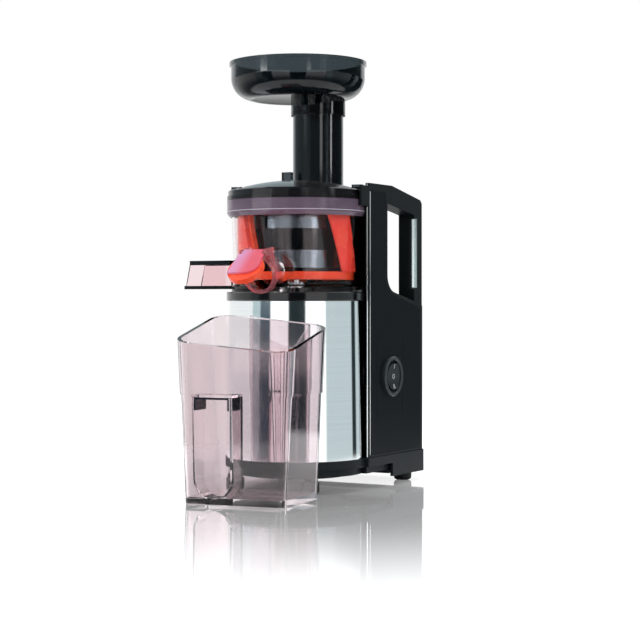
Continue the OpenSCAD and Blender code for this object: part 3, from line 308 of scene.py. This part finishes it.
def bowl_plastic(name, tint, outlet, spout, mist):
    """Clear bowl with a tinted pulp outlet and a tinted, slightly misted juice spout."""
    f = Finish(name)
    smear = f.noise(18.0, 4.0)
    outside = f.away().step(*BOWL_WALL)
    right = f.place("X").step(*SPOUT_SIDE)
    bowl = f.blend(smear, tint, times(tint, 1.02))
    wave = f.flow_waves(0.4)
    clear = f.principled(
        Base_Color=f.blend(outside, bowl, f.blend(right, outlet, spout)), Normal=wave,
        Roughness=smear * 0.03 + 0.015, Transmission_Weight=1.0, IOR=1.2,
    )
    misted = f.principled(
        Base_Color=f.blend(smear, mist, times(mist, 1.15)), Roughness=smear * 0.1 + 0.2,
        Normal=wave,
    )
    return f.output(f.mix(outside * right * 0.38, clear, misted))


def collar_plastic(name, colour, dark):
    """Half-clear plastic of the lid's collar, over the dark rim that stands inside its top."""
    f = Finish(name)
    smear = f.noise(26.0, 3.0)
    tone = f.blend(smear, times(colour, 0.7), times(colour, 1.2))
    return f.surface(
        Base_Color=f.blend(f.place("Z").step(*COLLAR_TOP), tone, dark),
        Roughness=smear * 0.05 + 0.05, Transmission_Weight=0.6, IOR=1.4,
        Normal=f.bump(smear, 0.04 * MM, 0.4, f.soft_edges(0.4 * MM)),
    )


def brushed_sheet(name, colour):
    """Steel sheet brushed round the column."""
    f = Finish(name)
    lines = f.noise(1.0, 3.0, 0.6, stretch=(14.0, 14.0, 4200.0))
    wide = f.noise(1.0, stretch=(5.0, 5.0, 420.0))
    return f.surface(
        Base_Color=f.blend(lines * 0.6 + wide * 0.4, times(colour, 0.84), times(colour, 1.06)),
        Metallic=1.0, Roughness=lines * 0.05 + 0.05,
        Normal=f.bump(lines + wide * 0.5, 0.0012 * MM, 0.4, f.soft_edges(0.2 * MM)),
    )


def turned_metal(name, colour, rough):
    """Machined or cast metal with fine tool marks."""
    f = Finish(name)
    marks = f.noise(1.0, stretch=(60.0, 60.0, 2400.0))
    speck = f.noise(400.0, 3.0)
    return f.surface(
        Base_Color=f.blend(speck, times(colour, 0.82), colour), Metallic=1.0,
        Roughness=marks * 0.12 + rough,
        Normal=f.bump(marks, 0.006 * MM, 0.5, f.soft_edges(0.3 * MM)),
    )


def soft_rubber(name, colour):
    """Matt black rubber with a fine tooth."""
    f = Finish(name)
    fine = f.noise(1500.0)
    broad = f.noise(40.0, 3.0)
    return f.surface(
        Base_Color=f.blend(broad, times(colour, 0.8), colour), Roughness=fine * 0.12 + 0.5,
        Normal=f.bump(fine, 0.02 * MM, 0.6, f.soft_edges(0.5 * MM)), Specular_IOR_Level=0.3,
    )


def silicone(name, colour, lit):
    """Slightly see-through coloured silicone with a soft bloom."""
    f = Finish(name)
    broad = f.noise(55.0, 3.0)
    return f.surface(
        Base_Color=f.blend(broad, colour, lit), Roughness=broad * 0.1 + 0.22,
        Normal=f.bump(f.noise(300.0), 0.02 * MM, 0.4, f.soft_edges(0.6 * MM)),
        Subsurface_Weight=0.25, Subsurface_Radius=(0.004, 0.0015, 0.001), Subsurface_Scale=1.0,
        Specular_IOR_Level=0.35,
    )


def perforated_steel(name):
    """Fine round holes in staggered rows round the strainer."""
    f = Finish(name)
    turn = f.maths("ARCTAN2", f.place("Y"), f.place("X"))
    rows = f.place("Z") / HOLE_ROW
    along = turn * (STRAINER_RADIUS / HOLE_PITCH)
    odd = (rows.wrap(2.0) > 1.0) * 0.5
    dx = (along + odd).wrap(1.0) - 0.5
    dz = rows.wrap(1.0) - 0.5
    hole = (dx * dx * 1.3 + dz * dz) < HOLE_SIZE
    speck = f.noise(300.0)
    return f.surface(
        Base_Color=f.blend(speck, rgb(0.2, 0.25, 0.29), rgb(0.32, 0.38, 0.42)), Metallic=1.0,
        Roughness=speck * 0.1 + 0.2, Alpha=1.0 - hole,
    )


def wound_copper(name):
    """Enamelled wire, wound in even turns."""
    f = Finish(name)
    strands = (f.place("Z") * 5200.0).sine()
    return f.surface(
        Base_Color=f.blend(f.noise(200.0), rgb(0.55, 0.22, 0.08), rgb(0.8, 0.38, 0.16)),
        Metallic=0.8, Roughness=f.noise(90.0) * 0.1 + 0.3, Normal=f.bump(strands, 0.2 * MM, 0.8),
    )


def circuit_board(name):
    """Green board with slightly raised tracks."""
    f = Finish(name)
    tracks = f.noise(260.0, 0.0) > 0.52
    return f.surface(
        Base_Color=f.blend(tracks, rgb(0.01, 0.09, 0.04), rgb(0.03, 0.2, 0.08)),
        Roughness=tracks * -0.1 + 0.4, Normal=f.bump(tracks, 0.05 * MM, 0.5),
    )


def painted_highlight_line(name):
    """Bright metal for a thin strip along an edge, which is a painted highlight."""
    f = Finish(name)
    speck = f.noise(220.0)
    return f.surface(
        Base_Color=f.blend(speck, rgb(0.75, 0.79, 0.8), rgb(0.88, 0.92, 0.93)), Metallic=1.0,
        Roughness=speck * 0.08 + 0.12,
    )


def pad_print(name):
    """Matt grey ink of the switch's marks."""
    f = Finish(name)
    speck = f.noise(900.0)
    return f.surface(
        Base_Color=f.blend(speck, rgb(0.34, 0.38, 0.4), rgb(0.46, 0.5, 0.52)),
        Roughness=speck * 0.1 + 0.5,
    )


# ---------- Stage ----------

# Frame in pixels, the pixel of the machine's axis at camera height, and the sensor's width in mm
FRAME = 640.0
AXIS_PIXEL = (297.0, 301.0)
SENSOR = 36.0

# The table lies a little under the feet. Its polish fades round a place before the machine, and
# past the last range reflections see through it to the studio's walls
TABLE_SIZE = 6.0
TABLE_DROP = 0.4 * MM
POLISH = 0.8
POLISH_CENTRE = (0.08, -0.14)
POLISH_FADE = (0.05, 0.75)
TABLE_GREY = rgb(0.93, 0.93, 0.93)
TABLE_GLOW = 0.5
TABLE_CLEAR = (0.42, 0.55)

# Name, place, target, size and watts
LAMPS = [
    ("lamp_left", (-1.1, -1.5, 1.0), (0, 0, 0.25), (0.7, 1.0), 14.0),
    ("lamp_right", (1.7, -0.5, 0.9), (0, 0, 0.25), (0.35, 1.2), 9.0),
    ("lamp_top", (0.0, 0.1, 1.7), (0, 0, 0.2), (1.2, 1.2), 12.0),
]

# Colours of the studio that reflections see, and the light on matt surfaces. Far below the
# horizon only a share of the walls is left
PALE = rgb(0.6, 0.68, 0.7)
WHITE = rgb(1, 1, 1)
BRIGHT = rgb(1.45, 1.45, 1.45)
DARK = rgb(0.02, 0.03, 0.034)
TOP_WALL = rgb(0.56, 0.66, 0.7)
CEILING = rgb(0.9, 0.92, 0.94)
AMBIENT = rgb(0.96, 0.98, 1.0)
AMBIENT_STRENGTH = 0.6
UNDER_SHARE = 0.12

# Degrees round from the machine's front right at which each colour of the studio wall starts
WALLS_LOW = [
    (-80, rgb(0.5, 0.62, 0.64)), (-64, rgb(0.06, 0.1, 0.13)), (-45, BRIGHT), (-14, DARK),
    (14, BRIGHT), (49, PALE), (104, DARK), (115, PALE), (127, DARK), (150, WHITE),
]
WALLS_HIGH = [
    (-135, rgb(0.3, 0.36, 0.4)), (-38, rgb(0.12, 0.14, 0.15)), (60, rgb(0.05, 0.06, 0.065)),
    (139, WHITE),
]
WALLS_TOP = [(-165, WHITE), (165, rgb(0.45, 0.5, 0.52)), (178, DARK)]

# Turn of the front right from the X axis, and the heights in degrees at which the walls change
FRONT_RIGHT = -60.0
FLOOR_FADE = (-36.0, -8.0)
WALLS_HIGH_FROM = (2.9, 3.3)
WALLS_TOP_FROM = (9.5, 11.0)
CEILING_FROM = (40.0, 60.0)

# Soft boxes and dark cards: turn from and to, height from and to in degrees, and brightness
SOFT_BOXES = [
    (7, 19, 4.3, 6.9, 2.6), (57, 65, 4.3, 6.9, 7.0), (-67, -54, 7.15, 7.75, 14.0),
    (15, 22, 7.3, 7.8, 6.0), (-78, -42, 2.6, 3.55, 3.5), (140, 181, -6.8, -5.9, 0.03),
    (-181, -140, -6.8, -5.9, 0.03),
]


def studio_world():
    """White world. Shiny surfaces also see dark uprights between the pale walls of a studio."""
    world = bpy.data.worlds.new("studio")
    world.use_nodes = True
    bpy.context.scene.world = world
    f = Finish("studio", world.node_tree)
    where = f.add("ShaderNodeTexCoord", output="Generated")
    x, y, z = (f.add("ShaderNodeSeparateXYZ", values={0: where}, output=axis) for axis in "XYZ")
    degrees = 180.0 / math.pi
    around = f.maths("ARCTAN2", y, x) * degrees - FRONT_RIGHT
    around = (around + 180.0).wrap(360.0) - 180.0
    height = f.maths("ARCSINE", z) * degrees

    def walls(first, bands, soft):
        """Uprights of colour all round, with edges that are soft by a few degrees."""
        level = first
        for start, colour in bands:
            level = f.blend(around.step(start - soft, start + soft), level, colour)
        return level

    level = walls(WHITE, WALLS_LOW, 1.5)
    under = f.blend(UNDER_SHARE, DARK, level)
    level = f.blend(height.step(*FLOOR_FADE), under, level)
    level = f.blend(height.step(*WALLS_HIGH_FROM), level, walls(WHITE, WALLS_HIGH, 6.0))
    level = f.blend(height.step(*WALLS_TOP_FROM), level, walls(TOP_WALL, WALLS_TOP, 2.0))
    level = f.blend(height.step(*CEILING_FROM), level, CEILING)
    for left, right, bottom, top, glow in SOFT_BOXES:
        box = around.inside(left, right, 1.5) * height.inside(bottom, top, 0.15)
        level = f.blend(box, level, rgb(glow, glow, glow))

    def light(colour, strength=1.0):
        return f.add("ShaderNodeBackground", None, {"Color": colour, "Strength": strength})

    straight = f.ray("Is Camera Ray").most(f.ray("Is Transmission Ray"))
    mixed = f.mix(straight, light(AMBIENT, AMBIENT_STRENGTH), light(WHITE))
    mixed = f.mix(f.ray("Glossy Depth") > 0.5, mixed, light(level))
    f.output(mixed, "ShaderNodeOutputWorld")


def floor_finish():
    """White gloss table: keeps the shadow and, near the machine, a mirror image that fades."""
    f = Finish("table_white")
    polish = (1.0 - f.away(POLISH_CENTRE).step(*POLISH_FADE)) * POLISH
    scuff = f.noise(9.0, 3.0)
    matt = f.add("ShaderNodeBsdfDiffuse", None, {"Color": TABLE_GREY})
    shine = f.add(
        "ShaderNodeBsdfGlossy", None, {"Color": WHITE, "Roughness": scuff * 0.02 + 0.03})
    glow = f.add("ShaderNodeEmission", None, {"Color": WHITE, "Strength": TABLE_GLOW})
    clear = f.add("ShaderNodeBsdfTransparent")
    lit = f.add("ShaderNodeAddShader", None, {0: matt, 1: glow})
    unseen = f.mix(f.ray("Is Glossy Ray") * f.away().step(*TABLE_CLEAR), matt, clear)
    return f.output(f.mix(f.ray("Is Camera Ray"), unseen, f.mix(polish, lit, shine)))


def soft_lamp(name, place, target, size, power):
    data = bpy.data.lights.new(name, "AREA")
    data.shape = "RECTANGLE"
    data.size, data.size_y = size
    data.energy = power
    lamp = bpy.data.objects.new(name, data)
    lamp.location = place
    lamp.rotation_euler = (Vector(target) - Vector(place)).to_track_quat("-Z", "Y").to_euler()
    lamp.visible_glossy = False
    bpy.context.collection.objects.link(lamp)


# ---------- Mesh helpers ----------

MERGE = 0.001 * MM
SHARP_ANGLE = math.radians(35)

# A font's size over the height of its capitals
FONT_PER_CAPITAL = 1.38


def spin_about(axis, degrees):
    return Matrix.Rotation(math.radians(degrees), 4, axis)


def new_piece(name, bm, material, body, smooth=True):
    """Turns a bmesh into a piece that rides on a body of the machine."""
    bmesh.ops.remove_doubles(bm, verts=bm.verts, dist=MERGE)
    bmesh.ops.recalc_face_normals(bm, faces=bm.faces)
    mesh = bpy.data.meshes.new(name)
    bm.to_mesh(mesh)
    bm.free()
    piece = bpy.data.objects.new(name, mesh)
    bpy.context.collection.objects.link(piece)
    mesh.materials.append(material)
    if smooth:
        mesh.shade_smooth()
        mesh.set_sharp_from_angle(angle=SHARP_ANGLE)
    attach(piece, body)
    return piece


def block(low, high, round_off):
    """A bmesh of a box between two corners, with rounded edges."""
    bm = bmesh.new()
    made = bmesh.ops.create_cube(bm, size=1.0)["verts"]
    bmesh.ops.scale(bm, verts=made, vec=[b - a for a, b in zip(low, high)])
    bmesh.ops.translate(bm, verts=made, vec=[(a + b) / 2 for a, b in zip(low, high)])
    bmesh.ops.bevel(
        bm, geom=bm.edges[:], offset=round_off, affect="EDGES", segments=2, profile=0.5,
        material=-1,
    )
    return bm


def letter(text, size, thick):
    """A bmesh of a flat letter round the origin in the XY plane."""
    curve = bpy.data.curves.new("mark", "FONT")
    curve.body = text
    curve.size = size
    curve.extrude = thick / 2
    curve.align_x = "CENTER"
    curve.align_y = "CENTER"
    holder = bpy.data.objects.new("mark", curve)
    bpy.context.collection.objects.link(holder)
    bpy.context.view_layer.update()
    mesh = bpy.data.meshes.new_from_object(holder)
    bm = bmesh.new()
    bm.from_mesh(mesh)
    bpy.data.objects.remove(holder)
    bpy.data.curves.remove(curve)
    bpy.data.meshes.remove(mesh)
    bmesh.ops.remove_doubles(bm, verts=bm.verts, dist=MERGE)
    low = Vector([min(v.co[i] for v in bm.verts) for i in range(3)])
    high = Vector([max(v.co[i] for v in bm.verts) for i in range(3)])
    bmesh.ops.translate(bm, verts=bm.verts, vec=-(low + high) / 2)
    return bm


def dress(names, material):
    """Gives CAD nodes a finish."""
    for name in names:
        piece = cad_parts[name]
        piece.data.materials.clear()
        piece.data.materials.append(material)


# ---------- Settings ----------


class JUICER_PG_finish(bpy.types.PropertyGroup):
    """Colours of the machine's main finishes."""

    body: bpy.props.FloatVectorProperty(
        name="Housing", description="Colour of the satin housing", subtype="COLOR", size=4,
        default=rgb(0.008, 0.011, 0.012))
    panel: bpy.props.FloatVectorProperty(
        name="Side panel", description="Colour of the inlaid side panels", subtype="COLOR", size=4,
        default=rgb(0.0055, 0.008, 0.0098))
    gloss: bpy.props.FloatVectorProperty(
        name="Gloss parts", description="Colour of the polished black parts", subtype="COLOR",
        size=4, default=rgb(0.003, 0.0032, 0.004))
    steel: bpy.props.FloatVectorProperty(
        name="Steel", description="Colour of the brushed steel", subtype="COLOR", size=4,
        default=rgb(0.86, 0.9, 0.91))
    brush: bpy.props.FloatVectorProperty(
        name="Silicone", description="Colour of the silicone brush and plug", subtype="COLOR",
        size=4, default=rgb(0.82, 0.05, 0.015))


class JUICER_PG_marks(bpy.types.PropertyGroup):
    """Sizes of the switch's marks and of the bright edge strips, which are painted highlights."""

    letter: bpy.props.FloatProperty(
        name="Switch mark", description="Height of a mark on the rocker", default=5.0 * MM,
        unit="LENGTH")
    spread: bpy.props.FloatProperty(
        name="Spacing", description="Distance between the rocker's marks", default=10.0 * MM,
        unit="LENGTH")
    ink: bpy.props.FloatProperty(
        name="Ink", description="Thickness of the print", default=0.5 * MM, unit="LENGTH")
    # Width of the bright strip on a panel's front edge, a painted highlight
    edge: bpy.props.FloatProperty(
        name="Bright edge", description="Width of the bright edge of a side panel",
        default=0.9 * MM, unit="LENGTH")


class JUICER_PG_stage(bpy.types.PropertyGroup):
    """Place and lens of the camera."""

    focal_pixels: bpy.props.FloatProperty(
        name="Focal length", description="Focal length in pixels of a frame 640 wide",
        default=1700.0, min=500.0)
    distance: bpy.props.FloatProperty(
        name="Distance", description="Distance from the bowl's axis to the camera", default=1.7,
        unit="LENGTH")
    height: bpy.props.FloatProperty(
        name="Height", description="Height of the camera above the table", default=0.186,
        unit="LENGTH")
    turn: bpy.props.FloatProperty(
        name="Turn", description="Turn of the camera round the machine from its front",
        default=math.radians(30), subtype="ANGLE")


# ---------- Operators ----------


class JUICER_OT_stage(bpy.types.Operator):
    """Adds the camera, the lamps, the world and the white table."""

    bl_idname = "juicer.stage"
    bl_label = "Stage"

    def execute(self, context):
        s = context.scene.juicer_stage
        data = bpy.data.cameras.new("camera")
        data.sensor_width = SENSOR
        data.sensor_fit = "HORIZONTAL"
        data.lens = s.focal_pixels / FRAME * SENSOR
        data.shift_x = (FRAME / 2 - AXIS_PIXEL[0]) / FRAME
        data.shift_y = (AXIS_PIXEL[1] - FRAME / 2) / FRAME
        data.clip_start, data.clip_end = 0.05, 50.0
        camera = bpy.data.objects.new("camera", data)
        camera.location = (s.distance * math.sin(s.turn), -s.distance * math.cos(s.turn), s.height)
        camera.rotation_euler = (math.radians(90), 0.0, s.turn)
        context.collection.objects.link(camera)
        context.scene.camera = camera
        context.scene.view_settings.view_transform = "Standard"

        studio_world()
        bm = bmesh.new()
        bmesh.ops.create_grid(bm, x_segments=2, y_segments=2, size=TABLE_SIZE)
        bmesh.ops.translate(bm, verts=bm.verts, vec=(0, 0, -TABLE_DROP))
        mesh = bpy.data.meshes.new("table")
        bm.to_mesh(mesh)
        bm.free()
        mesh.materials.append(floor_finish())
        table = bpy.data.objects.new("table", mesh)
        context.collection.objects.link(table)
        for lamp in LAMPS:
            soft_lamp(*lamp)
        return {"FINISHED"}


class JUICER_OT_finishes(bpy.types.Operator):
    """Gives every solid of the machine its finish."""

    bl_idname = "juicer.finishes"
    bl_label = "Finishes"

    def execute(self, context):
        c = context.scene.juicer_finish

        satin = housing_plastic("housing_satin", tuple(c.body), 0.42)
        dress(["rear_shell_right", "rear_shell_left"], satin)
        base = grained_plastic("base_satin", rgb(0.009, 0.0125, 0.0145), 0.42, shine=0.12)
        dress(["base", "bottom_cover"], base)
        column = grained_plastic("column_black", rgb(0.003, 0.004, 0.0042), 0.38, shine=0.05)
        dress(["column_housing"], column)
        panel = grained_plastic("panel_satin", tuple(c.panel), 0.4, shine=0.05)
        dress(["side_panel_right", "side_panel_left", "switch_plate"], panel)
        nylon = grained_plastic("gear_nylon", rgb(0.8, 0.78, 0.7), 0.4, shine=0.4)
        dress(["lay_gear", "output_gear", "idler_gear"], nylon)

        gloss = polished_plastic("gloss_black", tuple(c.gloss))
        dress(["platform", "switch_body", "pulp_floor", "pulp_roof", "lid_rim",
               "strainer_frame"], gloss)
        for name, node, colour, rough, shine, coat in (
            ("bezel_black", "switch_bezel", rgb(0.02, 0.026, 0.03), 0.22, 0.3, 0.0),
            ("rocker_black", "switch_rocker", rgb(0.012, 0.016, 0.018), 0.25, 0.2, 0.0),
            ("auger_black", "auger", rgb(0.004, 0.004, 0.005), 0.14, 0.35, 0.3),
            ("grip_dark", "jug_grip", rgb(0.008, 0.007, 0.016), 0.12, 0.35, 0.3),
        ):
            dress([node], polished_plastic(name, colour, rough, shine, coat))
        rubber = soft_rubber("foot_rubber", rgb(0.006, 0.007, 0.008))
        dress(["rubber_feet", "cord_grommet", "shaft_seal"], rubber)

        dress(["steel_wrap"], brushed_sheet("brushed_steel", tuple(c.steel)))
        zinc = turned_metal("cast_zinc", rgb(0.5, 0.51, 0.53), 0.35)
        dress(["cover_screws", "shell_screws", "gearbox_screws", "motor_stator",
               "motor_bracket_top", "motor_bracket_bottom", "motor_rotor", "gearbox_case",
               "gearbox_cover"], zinc)
        shaft = turned_metal("turned_steel", rgb(0.72, 0.74, 0.76), 0.16)
        dress(["lay_pin", "drive_shaft", "shaft_bearings", "idler_pin", "cap_pin",
               "auger_socket"], shaft)
        dress(["motor_coils"], wound_copper("coil_copper"))
        dress(["control_board"], circuit_board("board_green"))
        dress(["strainer_mesh"], perforated_steel("strainer_steel"))

        bowl = bowl_plastic(
            "bowl_clear", tint=rgb(0.97, 0.91, 0.915), outlet=rgb(0.91, 0.75, 0.77),
            spout=rgb(0.86, 0.42, 0.34), mist=rgb(0.62, 0.17, 0.21))
        dress(["bowl"], bowl)
        cap = clear_plastic(
            "cap_rose", rgb(0.9, 0.48, 0.78), 0.1, across=rgb(0.98, 0.2, 0.28), index=1.25,
            clear=0.45)
        dress(["juice_cap"], cap)
        dress(["jug"], clear_plastic("jug_clear", rgb(0.85, 0.77, 0.79), 0.01, index=1.4))
        dress(["lid"], clear_plastic("lid_smoke", rgb(0.05, 0.062, 0.07), 0.03))
        # The low tint is near-black: painted shade on the tray's underside
        tray = clear_plastic(
            "tray_smoke", rgb(0.04, 0.055, 0.062), 0.03, low=rgb(0.003, 0.004, 0.005), index=1.4)
        dress(["tray"], tray)
        collar = collar_plastic("collar_plum", rgb(0.27, 0.19, 0.27), rgb(0.012, 0.01, 0.013))
        dress(["lid_collar"], collar)

        red = silicone("brush_silicone", tuple(c.brush), rgb(0.95, 0.1, 0.03))
        dress(["brush_frame", "cap_plug", "bowl_seal"], red)
        gasket = silicone("gasket_silicone", rgb(0.02, 0.012, 0.018), rgb(0.03, 0.02, 0.026))
        dress(["lid_gasket"], gasket)
        wipers = silicone("wiper_silicone", rgb(0.85, 0.04, 0.04), rgb(0.95, 0.09, 0.04))
        dress(["brush_wipers"], wipers)
        return {"FINISHED"}


class JUICER_OT_switch_marks(bpy.types.Operator):
    """Prints the on, off and reverse marks on the rocker."""

    bl_idname = "juicer.switch_marks"
    bl_label = "Switch marks"

    def execute(self, context):
        m = context.scene.juicer_marks
        ink = pad_print("mark_print")
        low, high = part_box("switch_rocker")
        middle = (Vector(low) + Vector(high)) / 2
        # The rocker's face is hollow: its deepest place along X, and the radius of the hollow
        face, dish = 76.6 * MM, 49.4 * MM
        font_size = m.letter * FONT_PER_CAPITAL
        upright = spin_about("Z", 90) @ spin_about("X", 90)
        for text, place in (("I", 1), ("O", 0), ("R", -1)):
            lean = math.asin(place * m.spread / dish)
            depth = face + dish * (1 - math.cos(lean))
            seat = Matrix.Translation((depth, middle.y, middle.z + place * m.spread))
            turn = seat @ Matrix.Rotation(lean, 4, "Y") @ upright
            bm = letter(text, font_size, m.ink)
            bmesh.ops.transform(bm, matrix=turn, verts=bm.verts)
            new_piece("rocker_mark_" + text, bm, ink, "rocker", smooth=False)
        return {"FINISHED"}


class JUICER_OT_lid_marks(bpy.types.Operator):
    """Adds the lid's lining-up bar and a pale bead round its collar, which is a painted highlight
    along the collar's step.
    """

    bl_idname = "juicer.lid_marks"
    bl_label = "Lid marks"

    def execute(self, context):
        # The bar leans on the dome's slope, 61.5 mm from the axis
        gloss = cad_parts["lid_rim"].data.materials[0]
        bm = block((-3.2 * MM, -0.8 * MM, -0.3 * MM), (3.2 * MM, 0.8 * MM, 0.7 * MM), 0.25 * MM)
        seat = spin_about("Z", -36) @ Matrix.Translation((0, -61.5 * MM, 297.6 * MM))
        bmesh.ops.transform(bm, matrix=seat @ spin_about("X", 16.5), verts=bm.verts)
        new_piece("lid_mark", bm, gloss, "lid")

        # Thin pale ring round the collar: a painted highlight along its step
        thick, radius, height = 0.4 * MM, 69.85 * MM, 274.7 * MM
        bm = bmesh.new()
        bmesh.ops.create_circle(bm, segments=10, radius=thick)
        seat = Matrix.Translation((radius, 0, height)) @ spin_about("X", 90)
        bmesh.ops.transform(bm, matrix=seat, verts=bm.verts)
        bmesh.ops.spin(
            bm, geom=bm.verts[:] + bm.edges[:], cent=(0, 0, 0), axis=(0, 0, 1),
            angle=math.tau, steps=120, use_merge=True,
        )
        bead = polished_plastic("painted_highlight_bead", rgb(0.42, 0.38, 0.45), 0.15, shine=0.5)
        new_piece("collar_highlight_bead", bm, bead, "lid")
        return {"FINISHED"}


class JUICER_OT_painted_highlight_edges(bpy.types.Operator):
    """Adds thin bright strips down the front edges of the side panels and of the housing behind
    them, as painted highlights.
    """

    bl_idname = "juicer.bright_edges"
    bl_label = "Bright edges"

    def execute(self, context):
        half = context.scene.juicer_marks.edge / 2
        inward = half * 0.8
        material = painted_highlight_line("painted_highlight_edge")
        low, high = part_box("side_panel_right")
        # Name, and how far it reaches before, above, below and in from the panel's own edge
        edges = (
            ("panel", 0.0, -0.4 * MM, 0.0, 0.0),
            ("corner", 3.0 * MM, 7.4 * MM, 2.4 * MM, 1.4 * MM),
        )
        for side, sign in (("right", 1.0), ("left", -1.0)):
            for name, before, above, below, inset in edges:
                # Each strip is a thin bright bar set on the edge: a painted highlight
                bm = block(
                    (-half, -half, low[2] - below), (half, half, high[2] + above), 0.12 * MM)
                x, y = sign * (high[0] - inward - inset), low[1] - before + inward
                seat = Matrix.Translation((x, y, 0)) @ spin_about("Z", 45)
                bmesh.ops.transform(bm, matrix=seat, verts=bm.verts)
                new_piece(f"{name}_edge_{side}", bm, material, "housing")
        return {"FINISHED"}


class JUICER_PT_panel(bpy.types.Panel):
    """Lists the machine's steps in the sidebar."""

    bl_idname = "JUICER_PT_panel"
    bl_label = "Juicer"
    bl_space_type = "VIEW_3D"
    bl_region_type = "UI"
    bl_category = "Juicer"

    def draw(self, context):
        for item in OPERATORS:
            self.layout.operator(item.bl_idname)


OPERATORS = [
    JUICER_OT_stage, JUICER_OT_finishes, JUICER_OT_switch_marks, JUICER_OT_lid_marks,
    JUICER_OT_painted_highlight_edges,
]
CLASSES = [JUICER_PG_finish, JUICER_PG_marks, JUICER_PG_stage, JUICER_PT_panel] + OPERATORS


def register():
    for item in CLASSES:
        bpy.utils.register_class(item)
    bpy.types.Scene.juicer_finish = bpy.props.PointerProperty(type=JUICER_PG_finish)
    bpy.types.Scene.juicer_marks = bpy.props.PointerProperty(type=JUICER_PG_marks)
    bpy.types.Scene.juicer_stage = bpy.props.PointerProperty(type=JUICER_PG_stage)


def unregister():
    del bpy.types.Scene.juicer_stage
    del bpy.types.Scene.juicer_marks
    del bpy.types.Scene.juicer_finish
    for item in reversed(CLASSES):
        bpy.utils.unregister_class(item)


def main():
    register()
    bpy.ops.juicer.stage()
    bpy.ops.juicer.finishes()
    bpy.ops.juicer.switch_marks()
    bpy.ops.juicer.lid_marks()
    bpy.ops.juicer.bright_edges()


if __name__ == "__main__":
    main()
